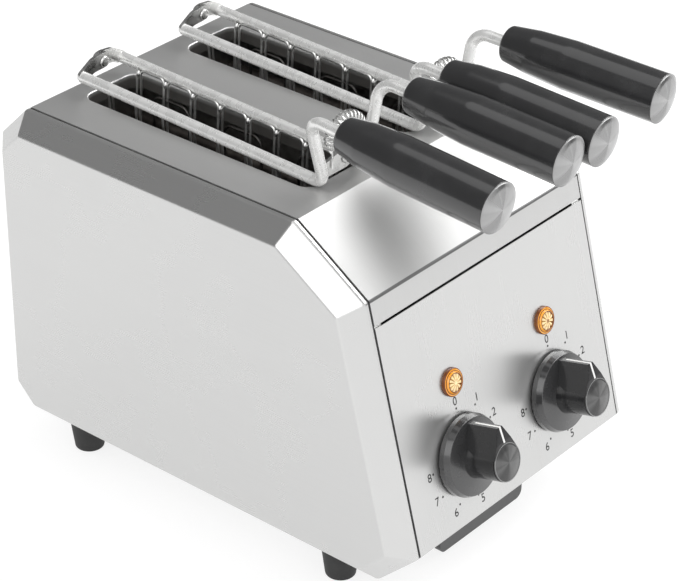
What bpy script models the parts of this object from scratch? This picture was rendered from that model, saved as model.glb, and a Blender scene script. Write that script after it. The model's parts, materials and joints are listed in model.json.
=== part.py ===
"""A two slot countertop sandwich toaster with two lift out spring tongs, in metres, +Z up."""
from math import atan2, cos, pi, radians, sin, sqrt, tan

import bmesh
import bpy
from mathutils import Matrix, Vector

# Fits
GAP = 0.0003
SEAM = 0.0008
OVERRUN = 0.002
SHEET = 0.001
MERGE_DISTANCE = 0.00001

# Casing outline, seen from the side
CASING_WIDTH = 0.220
CASING_DEPTH = 0.3146
CASING_HEIGHT = 0.2086
FRONT_CHAMFER_RUN = 0.0268
FRONT_CHAMFER_RISE = 0.0257
SLOPE_RISE = 0.0326
PANEL_LEAN = radians(14.5)
SLOPE_ANGLE = radians(33.1)
BACK_TOP_CHAMFER = 0.0212
BACK_BOTTOM_CHAMFER = 0.0193
LIP_HEIGHT = 0.0145
LIP_GAP = 0.0012
BACK_FOLD = 0.010
BASE_END_GAP = 0.0015

# Side panels
BEVEL_INSET = 0.0114
BEVEL_DEPTH = 0.0118
RIM_BAND = 0.0025
FLANGE_REACH = 0.008

# Slots
SLOT_PLACE_SHARE = 0.4552
SLOT_WIDTH = 0.044
SLOT_FRONT_MARGIN = 0.0171
SLOT_BACK_MARGIN = 0.0134
SLOT_CORNER = 0.008
COLLAR_SHEET = 0.0008
COLLAR_DEPTH = 0.009

# Inner chassis
BULKHEAD_FLANGE = 0.004
BULKHEAD_MARGIN = 0.008
REFLECTOR_SHEET = 0.0008
REFLECTOR_FLANGE = 0.008
REFLECTOR_BOTTOM = 0.045

# Where the reflectors and elements stand between a slot's edge and the cover's edge or middle
OUTER_REFLECTOR_SHARE = 0.808
CENTRE_REFLECTOR_SHARE = 0.693
OUTER_ELEMENT_SHARE = 0.2357
INNER_ELEMENT_SHARE = 0.3302

# Heating elements
ELEMENT_RADIUS = 0.004
ELEMENT_LOWEST = 0.095
ELEMENT_TOP_DROP = 0.0336
ELEMENT_TAIL = 0.010
ELEMENT_TURN_MARGIN = 0.012

# Guard wires in the slots
GUARD_RADIUS = 0.0009
GUARD_SPREAD = 0.0206
GUARD_BOTTOM = 0.070
GUARD_BEND = 0.006
GUARD_COUNT = 6
GUARD_FIRST = 0.016

# Base and crumb tray
CRUMB_OPENING_MARGIN = 0.004
TRAY_MARGIN = 0.0329
TRAY_FLANGE = 0.004
TRAY_DEPTH = 0.010
TRAY_FRONT_MARGIN = 0.0072
TRAY_BACK_MARGIN = 0.0093
TRAY_SHEET = 0.0008
TRAY_PLAY = 0.0006
TRAY_GRIP_WIDTH = 0.083
TRAY_GRIP_HEIGHT = 0.0178
TRAY_GRIP_THICKNESS = 0.008
TRAY_GRIP_CORNER = 0.006

# Feet
FOOT_HEIGHT = 0.024
FOOT_TOP_RADIUS = 0.012
FOOT_BOTTOM_RADIUS = 0.009
FOOT_EDGE = 0.0015
FOOT_MARGIN = 0.0129
FOOT_FRONT_MARGIN = 0.0412
FOOT_BACK_MARGIN = 0.0233
FOOT_POCKET_RADIUS = 0.0048
FOOT_POCKET_DEPTH = 0.010
FOOT_SCREW_RADIUS = 0.002
FOOT_SCREW_HEAD = 0.004
FOOT_SCREW_HEAD_HEIGHT = 0.0025
FOOT_SCREW_TIP = 0.005

# Back panel
VENT_COUNT = 9
VENT_PITCH = 0.014
VENT_WIDTH = 0.004
VENT_HEIGHT = 0.030
VENT_DROP = 0.0736
GLAND_RADIUS = 0.009
GLAND_NOSE_RADIUS = 0.0065
GLAND_BORE = 0.004
GLAND_REACH = 0.014
GLAND_RIM = 0.003
GLAND_NECK_RADIUS = 0.0065
GLAND_INSIDE = 0.008
GLAND_MARGIN = 0.0349
GLAND_LEVEL = 0.038

# Controls, with the knob measured up the control panel from its foot
KNOB_RISE = 0.0399
LAMP_OVER_KNOB = 0.0449
KNOB_CLEARANCE = 0.0012
KNOB_SKIRT_RADIUS = 0.0242
KNOB_FACE_RADIUS = 0.0228
KNOB_RIM_LEVEL = 0.0045
KNOB_FACE_LEVEL = 0.008
KNOB_ROOT_LEVEL = 0.010
KNOB_GRIP_RADIUS = 0.0115
KNOB_GRIP_ROOT_RADIUS = 0.012
KNOB_CAP_LEVEL = 0.031
KNOB_CAP_RISE = 0.0008
KNOB_EDGE = 0.0007
KNOB_HUB_DEPTH = 0.020
FIN_REACH = 0.0215
FIN_TIP_WIDTH = 0.0046
FIN_CORNER_LEVEL = 0.0278
SHAFT_RADIUS = 0.003
SHAFT_INSIDE = 0.012
TIMER_BUSH_RADIUS = 0.0047
TIMER_SIZE = 0.042
TIMER_DEPTH = 0.032
TIMER_EDGE = 0.002
LAMP_RIM_RADIUS = 0.0082
LAMP_RIM_HEIGHT = 0.0022
LAMP_LENS_RADIUS = 0.0058
LAMP_LENS_HEIGHT = 0.0038
LAMP_STEM_RADIUS = 0.0055
LAMP_BODY_RADIUS = 0.0072
LAMP_BODY_LENGTH = 0.018
LAMP_EDGE = 0.0008

# Tongs, with heights above the deck
ROD_RADIUS = 0.0035
ROD_SPREAD = 0.0172
ROD_OVERHANG = 0.0032
ROD_BACK_RISE = 0.0097
NECK_LEAD = 0.007
NECK_BEND = 0.0075
GRIP_BEND = 0.010
GRIP_LINE_RISE = 0.049
GRIP_TIP_RISE = 0.041
GRIP_LEAD = 0.018
GRIP_LENGTH = 0.109
GRIP_BACK_RADIUS = 0.0102
GRIP_RADIUS = 0.0145
GRIP_TAPER_SHARE = 0.42
GRIP_EDGE = 0.003
GRIP_DOME = 0.003
GRIP_BORE_DEPTH = 0.030
AXIS_RISE = 0.0139
LUG_SHEET = 0.002
LUG_LAYER_GAP = 0.0005
LUG_RADIUS = 0.0063
LUG_ROD_RADIUS = 0.005
LUG_REACH = 0.020
LUG_REACH_RISE = 0.002
FRONT_LUG_LEAD = 0.0078
RIVET_RADIUS = 0.0025
RIVET_HEAD_RADIUS = 0.0045
RIVET_HEAD_HEIGHT = 0.0015
CAGE_RADIUS = 0.0009
CAGE_BOTTOM = 0.080
CAGE_BOTTOM_SPREAD = 0.0033
CAGE_BEND = 0.003
CAGE_LOOP_HALF = 0.0017
CAGE_COUNT = 8
CAGE_FIRST = 0.0104
CAGE_LAST = 0.0131
SPRING_WIRE_RADIUS = 0.0006
SPRING_COIL_RADIUS = 0.0039
SPRING_ARCH_RADIUS = 0.0125
SPRING_ARCH_RISE = 0.0205
SPRING_TURNS = 15
SPRING_TURN_POINTS = 8
SPRING_LEG_BOTTOM = 0.012

# How far each grip's centre line stands out from its bar, or from the casing's middle for the two
# grips between the slots, at the neck and at the tip
GRIP_STANDOFFS = {
    "first_tong": {"left": (0.0128, 0.0146), "right": (0.0132, 0.0107)},
    "second_tong": {"left": (0.0162, 0.0197), "right": (0.0108, 0.0223)},
}

# Sizes that follow from those above
PANEL_DOWN = Vector((0, -sin(PANEL_LEAN), -cos(PANEL_LEAN)))
PANEL_OUT = Vector((0, -cos(PANEL_LEAN), sin(PANEL_LEAN)))
LIP_Z = CASING_HEIGHT - SLOPE_RISE
PANEL_LENGTH = (LIP_Z - FRONT_CHAMFER_RISE) / cos(PANEL_LEAN)
LIP_Y = PANEL_LENGTH * sin(PANEL_LEAN)
DECK_FRONT = LIP_Y + SLOPE_RISE / tan(SLOPE_ANGLE)
PANEL_HALF = CASING_WIDTH / 2
COVER_HALF = PANEL_HALF - BEVEL_DEPTH - RIM_BAND - SEAM
BASE_BACK = CASING_DEPTH - BACK_BOTTOM_CHAMFER
SLOT_CENTRE = COVER_HALF * SLOT_PLACE_SHARE
SLOT_FRONT = DECK_FRONT + SLOT_FRONT_MARGIN
SLOT_BACK = CASING_DEPTH - BACK_TOP_CHAMFER - SLOT_BACK_MARGIN
INNER_ZONE = SLOT_CENTRE - SLOT_WIDTH / 2
OUTER_ZONE = COVER_HALF - SLOT_CENTRE - SLOT_WIDTH / 2
ELEMENT_HIGHEST = CASING_HEIGHT - ELEMENT_TOP_DROP
TRAY_HALF_WIDTH = COVER_HALF - TRAY_MARGIN
TRAY_FRONT = FRONT_CHAMFER_RUN + TRAY_FRONT_MARGIN
TRAY_BACK = BASE_BACK - TRAY_BACK_MARGIN
KNOB_DROP = PANEL_LENGTH - KNOB_RISE
LAMP_DROP = KNOB_DROP - LAMP_OVER_KNOB
NECK_Y = SLOT_FRONT - NECK_LEAD
GRIP_BACK_Y = NECK_Y - GRIP_LEAD
FRONT_LUG_Y = SLOT_FRONT - FRONT_LUG_LEAD
ROD_BACK = SLOT_BACK + ROD_OVERHANG
FLANGE_DROP = SHEET + GAP
INNER_DROP = FLANGE_DROP + SHEET + GAP
GRIP_FRONT_Y = GRIP_BACK_Y - GRIP_LENGTH
MIDDLE_Y = (CASING_DEPTH + GLAND_REACH + GRIP_FRONT_Y - GRIP_DOME) / 2
ROD_FRONT_RISE = ROD_RADIUS + GAP

parts = bpy.data.collections.new("sandwich_toaster")
cutters = bpy.data.collections.new("cutters")


def at(x, y, z):
    """A place measured from the casing's middle, its front bottom edge and its underside."""
    return Vector((x, y - MIDDLE_Y, z + FOOT_HEIGHT))


def on_panel(x, drop, height=0.0):
    """A place on the control panel, measured down from the lip corner and out of the sheet."""
    return at(x, LIP_Y, LIP_Z) + PANEL_DOWN * drop + PANEL_OUT * height


def start_scene():
    for obj in list(bpy.data.objects):
        bpy.data.objects.remove(obj, do_unlink=True)
    bpy.context.scene.collection.children.link(parts)
    bpy.context.scene.collection.children.link(cutters)


def material(name, colour, roughness, metallic=0.0):
    made = bpy.data.materials.new(name)
    made.use_nodes = True
    shader = made.node_tree.nodes["Principled BSDF"]
    shader.inputs["Base Color"].default_value = (*colour, 1.0)
    shader.inputs["Roughness"].default_value = roughness
    shader.inputs["Metallic"].default_value = metallic
    made.diffuse_color = (*colour, 1.0)
    return made


def add_object(name, data, finish=None, smooth=False):
    obj = bpy.data.objects.new(name, data)
    if finish is None:
        cutters.objects.link(obj)
        obj.hide_render = True
        obj.display_type = "WIRE"
        return obj
    parts.objects.link(obj)
    data.materials.append(finish)
    if smooth:
        data.shade_smooth()
        data.set_sharp_from_angle(angle=radians(40))
    return obj


def mesh_from(bm, name):
    mesh = bpy.data.meshes.new(name)
    bm.to_mesh(mesh)
    bm.free()
    return mesh


def carry(obj, carrier):
    """Parent a piece to its joint's empty and leave it where it stands."""
    bpy.context.view_layer.update()
    obj.parent = carrier
    obj.matrix_parent_inverse = carrier.matrix_world.inverted()
    return obj


def joint_empty(name, place, carrier=None):
    empty = bpy.data.objects.new(name, None)
    empty.location = place
    parts.objects.link(empty)
    if carrier is not None:
        carry(empty, carrier)
    bpy.context.view_layer.update()
    return empty


def aim(start, end):
    """The transform that stands +Z along the line from start to end, at start."""
    turn = (end - start).to_track_quat("Z", "Y")
    return Matrix.Translation(start) @ turn.to_matrix().to_4x4()


def panel_frame(x, drop):
    """The transform of a control: +Z out of the panel and +Y up it."""
    tilt = pi / 2 - PANEL_LEAN
    return Matrix.Translation(on_panel(x, drop)) @ Matrix.Rotation(tilt, 4, "X")


def box_into(bm, size, centre):
    shape = Matrix.Translation(centre) @ Matrix.Diagonal((*size, 1.0))
    bmesh.ops.create_cube(bm, size=1, matrix=shape)


def rod_into(bm, radius, start, end, sides=12):
    length = (end - start).length
    shape = aim(start, end) @ Matrix.Translation((0, 0, length / 2))
    bmesh.ops.create_cone(
        bm, cap_ends=True, segments=sides, radius1=radius, radius2=radius, depth=length, matrix=shape)


def prism_into(bm, outline, vector):
    """Extrude a closed outline of places along a vector."""
    face = bm.faces.new([bm.verts.new(point) for point in outline])
    grown = bmesh.ops.extrude_face_region(bm, geom=[face])["geom"]
    moved = [item for item in grown if isinstance(item, bmesh.types.BMVert)]
    bmesh.ops.translate(bm, verts=moved, vec=vector)
    bmesh.ops.recalc_face_normals(bm, faces=bm.faces)


def bevel(obj, width, segments=2):
    modifier = obj.modifiers.new("rounded edges", "BEVEL")
    modifier.width = width
    modifier.segments = segments
    modifier.limit_method = "ANGLE"
    return obj


def thicken(obj, sheet):
    modifier = obj.modifiers.new("sheet", "SOLIDIFY")
    modifier.thickness = sheet
    modifier.offset = -1
    modifier.use_even_offset = True
    return obj


def boolean(obj, other, operation):
    modifier = obj.modifiers.new(operation.lower(), "BOOLEAN")
    modifier.operation = operation
    modifier.solver = "EXACT"
    modifier.object = other
    return obj


def turned(name, profile, finish, steps=24):
    """A turned piece about its own Z, from a profile that runs down its outer side."""
    bm = bmesh.new()
    verts = [bm.verts.new((radius, 0, height)) for radius, height in profile]
    for first, second in zip(verts, verts[1:]):
        bm.edges.new((first, second))
    obj = add_object(name, mesh_from(bm, name), finish)
    modifier = obj.modifiers.new("turn", "SCREW")
    modifier.steps = steps
    modifier.render_steps = steps
    modifier.use_merge_vertices = True
    modifier.merge_threshold = MERGE_DISTANCE
    modifier.use_smooth_shade = True
    return obj


def wires(name, paths, radius, finish, resolution=1):
    """Round wires through lists of places, each with capped ends."""
    curve = bpy.data.curves.new(name, "CURVE")
    curve.dimensions = "3D"
    curve.bevel_depth = radius
    curve.bevel_resolution = resolution
    curve.use_fill_caps = True
    for path in paths:
        spline = curve.splines.new("POLY")
        spline.points.add(len(path) - 1)
        for point, place in zip(spline.points, path):
            point.co = (*place, 1.0)
    obj = bpy.data.objects.new(name, curve)
    parts.objects.link(obj)
    curve.materials.append(finish)
    return obj


def rounded_path(corners, radii, steps=4):
    """A path through corners, each one rounded by its own radius."""
    path = [corners[0]]
    for before, corner, after, radius in zip(corners, corners[1:], corners[2:], radii):
        back = (before - corner).normalized()
        ahead = (after - corner).normalized()
        half = back.angle(ahead) / 2
        reach = radius / tan(half)
        middle = corner + (back + ahead).normalized() * (radius / sin(half))
        start = (corner + back * reach - middle).normalized()
        end = (corner + ahead * reach - middle).normalized()
        for step in range(steps + 1):
            path.append(middle + start.slerp(end, step / steps) * radius)
    path.append(corners[-1])
    return path


def bent_sheet(name, line, run, out, finish, sheet=SHEET):
    """A sheet bent along parallel lines: its section, how far it runs and its first face's way out."""
    bm = bmesh.new()
    verts = [bm.verts.new(point) for point in line]
    edges = [bm.edges.new(pair) for pair in zip(verts, verts[1:])]
    grown = bmesh.ops.extrude_edge_only(bm, edges=edges)["geom"]
    moved = [item for item in grown if isinstance(item, bmesh.types.BMVert)]
    bmesh.ops.translate(bm, verts=moved, vec=run)
    first = edges[0].link_faces[0]
    first.normal_update()
    if first.normal.dot(out) < 0:
        bmesh.ops.reverse_faces(bm, faces=bm.faces)
    return thicken(add_object(name, mesh_from(bm, name), finish), sheet)


def folded_sheet(name, fold, half_width, finish):
    """A sheet bent along X lines. Its fold runs up the front, back over the top and down."""
    line = [at(-half_width, y, z) for y, z in fold]
    out = Vector((1, 0, 0)).cross(line[1] - line[0])
    return bent_sheet(name, line, (2 * half_width, 0, 0), out, finish)


def casing_outline():
    """The casing's side outline, from the front chamfer up and round to the back one."""
    return [
        (FRONT_CHAMFER_RUN, 0),
        (0, FRONT_CHAMFER_RISE),
        (LIP_Y, LIP_Z),
        (DECK_FRONT, CASING_HEIGHT),
        (CASING_DEPTH - BACK_TOP_CHAMFER, CASING_HEIGHT),
        (CASING_DEPTH, CASING_HEIGHT - BACK_TOP_CHAMFER),
        (CASING_DEPTH, BACK_BOTTOM_CHAMFER),
        (BASE_BACK, 0),
    ]


def inset(outline, distance):
    """The outline drawn in by one distance on every side."""
    points = [Vector(point) for point in outline]
    count = len(points)
    inner = []
    for index, corner in enumerate(points):
        along = (corner - points[index - 1]).normalized()
        onward = (points[(index + 1) % count] - corner).normalized()
        inward = Vector((along.y, -along.x))
        onward_inward = Vector((onward.y, -onward.x))
        both = (inward + onward_inward).normalized()
        inner.append(corner + both * (distance / both.dot(inward)))
    return [tuple(point) for point in inner]


def side_panel(name, side, finish):
    """A pressed tray: a flat face, a slanted bevel, a rim band and a stepped flange."""
    outline = casing_outline()
    face = inset(outline, BEVEL_INSET)
    stepped = inset(outline, FLANGE_DROP)
    band = PANEL_HALF - BEVEL_DEPTH
    rim = band - RIM_BAND
    edge = rim - FLANGE_REACH
    rings = [(PANEL_HALF, face), (band, outline), (rim, outline), (rim, stepped), (edge, stepped)]
    bm = bmesh.new()
    loops = []
    for x, points in rings:
        loops.append([bm.verts.new(at(side * x, y, z)) for y, z in points])
    flat = bm.faces.new(loops[0])
    for outer, inner in zip(loops, loops[1:]):
        for index, corner in enumerate(outer):
            bm.faces.new((outer[index - 1], corner, inner[index], inner[index - 1]))
    bmesh.ops.recalc_face_normals(bm, faces=bm.faces)
    if flat.normal.x * side < 0:
        bmesh.ops.reverse_faces(bm, faces=bm.faces)
    return thicken(add_object(name, mesh_from(bm, name), finish), SHEET)


def drill(pieces, name, holes):
    """Cut round holes, each given as a radius, a start and an end, through some pieces."""
    bm = bmesh.new()
    for radius, start, end in holes:
        rod_into(bm, radius, start, end)
    cutter = add_object(name, mesh_from(bm, name))
    for piece in pieces:
        boolean(piece, cutter, "DIFFERENCE")


def casing(steel):
    side_panel("left_side_panel", -1, steel)
    side_panel("right_side_panel", 1, steel)
    outline = casing_outline()
    lip_end = (LIP_Y + PANEL_DOWN.y * LIP_HEIGHT, LIP_Z + PANEL_DOWN.z * LIP_HEIGHT)
    panel_drop = LIP_HEIGHT + LIP_GAP
    panel_top = (LIP_Y + PANEL_DOWN.y * panel_drop, LIP_Z + PANEL_DOWN.z * panel_drop)
    back_fold = (CASING_DEPTH, CASING_HEIGHT - BACK_TOP_CHAMFER - BACK_FOLD)
    back_top = (CASING_DEPTH, back_fold[1] - SEAM)
    top = folded_sheet("top_cover", [lip_end, *outline[2:6], back_fold], COVER_HALF, steel)
    front = folded_sheet("control_panel", [outline[0], outline[1], panel_top], COVER_HALF, steel)
    back = folded_sheet("back_panel", [back_top, outline[6], outline[7]], COVER_HALF, steel)
    base_back = (outline[7][0] - BASE_END_GAP, 0)
    base_front = (outline[0][0] + BASE_END_GAP, 0)
    base = folded_sheet("base_plate", [base_back, base_front], COVER_HALF, steel)
    cut_slots(top)
    cut_base(base)
    cut_back(back)
    return front


def slot_outline(x, margin, z):
    """A slot's rounded outline, drawn in by a margin."""
    half = SLOT_WIDTH / 2 - margin
    radius = SLOT_CORNER - margin
    front = SLOT_FRONT + margin
    back = SLOT_BACK - margin
    corners = ((half, back, 0), (-half, back, 1), (-half, front, 2), (half, front, 3))
    points = []
    for corner_x, corner_y, quarter in corners:
        centre_x = corner_x - radius * (1 if corner_x > 0 else -1)
        centre_y = corner_y - radius * (1 if corner_y == back else -1)
        for step in range(4):
            angle = (quarter + step / 3) * pi / 2
            points.append(at(x + centre_x + radius * cos(angle), centre_y + radius * sin(angle), z))
    return points


def cut_slots(top):
    """Give each slot a turned down collar: a block joined under the deck, then the slot cut through both."""
    floor = CASING_HEIGHT - COLLAR_DEPTH
    centres = (-SLOT_CENTRE, SLOT_CENTRE)
    bm = bmesh.new()
    for x in centres:
        prism_into(bm, slot_outline(x, -COLLAR_SHEET, floor), (0, 0, COLLAR_DEPTH - SHEET / 2))
    boolean(top, add_object("collar_blocks", mesh_from(bm, "collar_blocks")), "UNION")
    bm = bmesh.new()
    for x in centres:
        prism_into(bm, slot_outline(x, 0, floor - OVERRUN), (0, 0, COLLAR_DEPTH + 2 * OVERRUN))
    boolean(top, add_object("slot_cutter", mesh_from(bm, "slot_cutter")), "DIFFERENCE")


def cut_base(base):
    bm = bmesh.new()
    width = 2 * (TRAY_HALF_WIDTH - CRUMB_OPENING_MARGIN)
    centre = at(0, (SLOT_BACK + SLOT_FRONT) / 2, 0)
    box_into(bm, (width, SLOT_BACK - SLOT_FRONT, SHEET + 2 * OVERRUN), centre)
    boolean(base, add_object("crumb_cutter", mesh_from(bm, "crumb_cutter")), "DIFFERENCE")
    reach = Vector((0, 0, SHEET + OVERRUN))
    holes = [(FOOT_SCREW_RADIUS + GAP, foot - reach, foot + reach) for foot in foot_places()]
    drill((base,), "foot_screw_holes", holes)


def cut_back(back):
    bm = bmesh.new()
    for index in range(VENT_COUNT):
        x = (index - (VENT_COUNT - 1) / 2) * VENT_PITCH
        centre = at(x, CASING_DEPTH, CASING_HEIGHT - VENT_DROP)
        box_into(bm, (VENT_WIDTH, SHEET + 2 * OVERRUN, VENT_HEIGHT), centre)
    boolean(back, add_object("vent_cutter", mesh_from(bm, "vent_cutter")), "DIFFERENCE")
    hole = gland_place()
    reach = Vector((0, SHEET + OVERRUN, 0))
    drill((back,), "gland_hole", [(GLAND_NECK_RADIUS + GAP, hole - reach, hole + reach)])


def gland_place():
    return at(COVER_HALF - GLAND_MARGIN, CASING_DEPTH, GLAND_LEVEL)


def foot_places():
    spread = COVER_HALF - FOOT_MARGIN
    rows = (FRONT_CHAMFER_RUN + FOOT_FRONT_MARGIN, BASE_BACK - FOOT_BACK_MARGIN)
    return [at(x, y, 0) for y in rows for x in (-spread, spread)]


def feet(rubber, steel):
    names = ("front_left_foot", "front_right_foot", "rear_left_foot", "rear_right_foot")
    bore = FOOT_SCREW_RADIUS + GAP
    profile = [
        (bore, -GAP),
        (FOOT_TOP_RADIUS, -GAP),
        (FOOT_BOTTOM_RADIUS + FOOT_EDGE / 2, FOOT_EDGE - FOOT_HEIGHT),
        (FOOT_BOTTOM_RADIUS - FOOT_EDGE / 2, -FOOT_HEIGHT),
        (FOOT_POCKET_RADIUS, -FOOT_HEIGHT),
        (FOOT_POCKET_RADIUS, FOOT_POCKET_DEPTH - FOOT_HEIGHT),
        (bore, FOOT_POCKET_DEPTH - FOOT_HEIGHT),
        (bore, -GAP),
    ]
    seat = FOOT_POCKET_DEPTH - FOOT_HEIGHT - GAP
    screw = [
        (0, FOOT_SCREW_TIP),
        (FOOT_SCREW_RADIUS, FOOT_SCREW_TIP),
        (FOOT_SCREW_RADIUS, seat),
        (FOOT_SCREW_HEAD, seat),
        (FOOT_SCREW_HEAD, seat - FOOT_SCREW_HEAD_HEIGHT / 2),
        (FOOT_SCREW_HEAD * 3 / 4, seat - FOOT_SCREW_HEAD_HEIGHT),
        (0, seat - FOOT_SCREW_HEAD_HEIGHT),
    ]
    for name, place in zip(names, foot_places()):
        turned(name, profile, rubber, 16).location = place
        turned(name + "_screw", screw, steel, 12).location = place


def chassis(steel):
    """The two bulkheads that carry the elements and close the space round the slots."""
    low = INNER_DROP
    high = CASING_HEIGHT - INNER_DROP
    front_y = SLOT_FRONT - BULKHEAD_MARGIN
    back_y = SLOT_BACK + BULKHEAD_MARGIN
    ahead = front_y - BULKHEAD_FLANGE
    behind = back_y + BULKHEAD_FLANGE
    front_fold = [(ahead, high), (front_y, high), (front_y, low), (ahead, low)]
    back_fold = [(behind, low), (back_y, low), (back_y, high), (behind, high)]
    front = folded_sheet("front_bulkhead", front_fold, COVER_HALF, steel)
    back = folded_sheet("rear_bulkhead", back_fold, COVER_HALF, steel)
    through = Vector((0, SHEET + OVERRUN, 0))
    for bulkhead, y, z in ((front, front_y, ELEMENT_LOWEST), (back, back_y, ELEMENT_HIGHEST)):
        holes = []
        for x in element_columns().values():
            holes.append((ELEMENT_RADIUS + GAP, at(x, y, z) - through, at(x, y, z) + through))
        drill((bulkhead,), bulkhead.name + "_holes", holes)
    return front_y, back_y


def reflectors(bright, front_y, back_y):
    """Bent sheets that stand behind the heating elements and between the slots."""
    low = REFLECTOR_BOTTOM
    high = CASING_HEIGHT - INNER_DROP
    start = front_y + GAP
    run = back_y - GAP - start
    offset = COVER_HALF - OUTER_ZONE * (1 - OUTER_REFLECTOR_SHARE)
    flange = offset - REFLECTOR_FLANGE
    centre = INNER_ZONE * (1 - CENTRE_REFLECTOR_SHARE)
    shapes = {
        "left_reflector": [(-flange, low), (-offset, low), (-offset, high), (-flange, high)],
        "right_reflector": [(flange, high), (offset, high), (offset, low), (flange, low)],
        "centre_reflector": [(-centre, low), (-centre, high), (centre, high), (centre, low)],
    }
    for name, fold in shapes.items():
        line = [at(x, start, z) for x, z in fold]
        out = (line[1] - line[0]).cross(Vector((0, 1, 0)))
        bent_sheet(name, line, (0, run, 0), out, bright, REFLECTOR_SHEET)


def element_columns():
    """Where each heating element stands across the casing."""
    outer = SLOT_CENTRE + SLOT_WIDTH / 2 + OUTER_ZONE * OUTER_ELEMENT_SHARE
    inner = INNER_ZONE * (1 - INNER_ELEMENT_SHARE)
    return {
        "left_outer_element": -outer,
        "left_inner_element": -inner,
        "right_inner_element": inner,
        "right_outer_element": outer,
    }


def heating(dark, front_y, back_y):
    """Sheathed elements bent to and fro, each held where it passes the two bulkheads."""
    middle = (ELEMENT_LOWEST + ELEMENT_HIGHEST) / 2
    turn_back = back_y - ELEMENT_TURN_MARGIN
    turn_front = front_y + ELEMENT_TURN_MARGIN
    bend = (middle - ELEMENT_LOWEST) / 3
    for name, x in element_columns().items():
        corners = [
            at(x, front_y - SHEET - ELEMENT_TAIL, ELEMENT_LOWEST),
            at(x, turn_back, ELEMENT_LOWEST),
            at(x, turn_back, middle),
            at(x, turn_front, middle),
            at(x, turn_front, ELEMENT_HIGHEST),
            at(x, back_y + SHEET + ELEMENT_TAIL, ELEMENT_HIGHEST),
        ]
        wires(name, [rounded_path(corners, (bend,) * 4, 3)], ELEMENT_RADIUS, dark, 2)


def guard(name, x, bright, front_y, back_y):
    """A wire bent up and down along a slot, which keeps the food off the element."""
    pitch = (SLOT_BACK - SLOT_FRONT - 2 * GUARD_FIRST) / (GUARD_COUNT - 1)
    top = CASING_HEIGHT - COLLAR_DEPTH - GUARD_RADIUS - GAP
    corners = [at(x, front_y + GAP, GUARD_BOTTOM)]
    for index in range(GUARD_COUNT):
        y = SLOT_FRONT + GUARD_FIRST + index * pitch
        ends = [at(x, y, GUARD_BOTTOM), at(x, y, top)]
        corners += ends if index % 2 == 0 else ends[::-1]
    corners.append(at(x, back_y - GAP, GUARD_BOTTOM))
    radii = (GUARD_BEND,) * (len(corners) - 2)
    wires(name, [rounded_path(corners, radii, 2)], GUARD_RADIUS, bright)


def crumb_tray(steel, plastic):
    """A shallow tray hung by its flanges in two guides under the base plate."""
    top = -GAP - TRAY_PLAY
    half = TRAY_HALF_WIDTH
    low = top - TRAY_DEPTH
    brim = half + TRAY_FLANGE
    fold = [(-brim, top), (-half, top), (-half, low), (half, low), (half, top), (brim, top)]
    bm = bmesh.new()
    verts = [bm.verts.new(at(x, TRAY_FRONT, z)) for x, z in fold]
    edges = [bm.edges.new(pair) for pair in zip(verts, verts[1:])]
    grown = bmesh.ops.extrude_edge_only(bm, edges=edges)["geom"]
    moved = [item for item in grown if isinstance(item, bmesh.types.BMVert)]
    bmesh.ops.translate(bm, verts=moved, vec=(0, TRAY_BACK - TRAY_FRONT, 0))
    for end in (0, 1):
        ring = [vert for vert in bm.verts if (vert in moved) == bool(end)]
        corners = [vert for vert in ring if abs(abs(vert.co.x) - half) < GAP]
        bmesh.ops.contextual_create(bm, geom=corners)
    bmesh.ops.recalc_face_normals(bm, faces=bm.faces)
    floor = min(bm.faces, key=lambda face: face.calc_center_median().z)
    floor.normal_update()
    if floor.normal.z > 0:
        bmesh.ops.reverse_faces(bm, faces=bm.faces)
    tray = thicken(add_object("crumb_tray", mesh_from(bm, "crumb_tray"), steel), TRAY_SHEET)
    half_grip = TRAY_GRIP_WIDTH / 2
    grip_low = top - TRAY_GRIP_HEIGHT
    front = TRAY_FRONT - GAP
    corners = [
        at(-half_grip, front, top),
        at(-half_grip, front, grip_low),
        at(half_grip, front, grip_low),
        at(half_grip, front, top),
    ]
    outline = rounded_path(corners, (TRAY_GRIP_CORNER, TRAY_GRIP_CORNER), 4)
    bm = bmesh.new()
    prism_into(bm, outline, (0, -TRAY_GRIP_THICKNESS, 0))
    grip = add_object("crumb_tray_handle", mesh_from(bm, "crumb_tray_handle"), plastic)
    bevel(grip, FOOT_EDGE / 2)
    tray_slide = joint_empty("crumb_tray_slide", at(0, TRAY_FRONT, low))
    carry(tray, tray_slide)
    carry(grip, tray_slide)


def tray_guides(steel):
    """An L strip each side that the tray's flanges slide on."""
    outer = TRAY_HALF_WIDTH + TRAY_FLANGE + 2 * GAP + SHEET
    inner = TRAY_HALF_WIDTH + TRAY_SHEET
    ledge = -GAP - 2 * TRAY_PLAY - TRAY_SHEET
    for label, side in (("left", -1), ("right", 1)):
        fold = (
            (outer, -GAP),
            (outer, ledge - SHEET),
            (inner, ledge - SHEET),
            (inner, ledge),
            (outer - SHEET, ledge),
            (outer - SHEET, -GAP),
        )
        outline = [at(side * x, TRAY_FRONT, z) for x, z in fold]
        bm = bmesh.new()
        prism_into(bm, outline, (0, TRAY_BACK - TRAY_FRONT, 0))
        add_object(label + "_tray_guide", mesh_from(bm, label + "_tray_guide"), steel)


def knob_outline():
    """The grip's plan: round below, drawn out to a narrow tip above."""
    radius = KNOB_GRIP_RADIUS
    tip = FIN_TIP_WIDTH / 2
    reach = sqrt(FIN_REACH ** 2 + tip ** 2)
    touch = atan2(FIN_REACH, tip) - atan2(sqrt(reach ** 2 - radius ** 2), radius)
    points = [(tip, FIN_REACH)]
    turns = 16
    sweep = pi + 2 * touch
    for step in range(turns + 1):
        angle = touch - sweep * step / turns
        points.append((radius * cos(angle), radius * sin(angle)))
    points.append((-tip, FIN_REACH))
    return points


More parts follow.
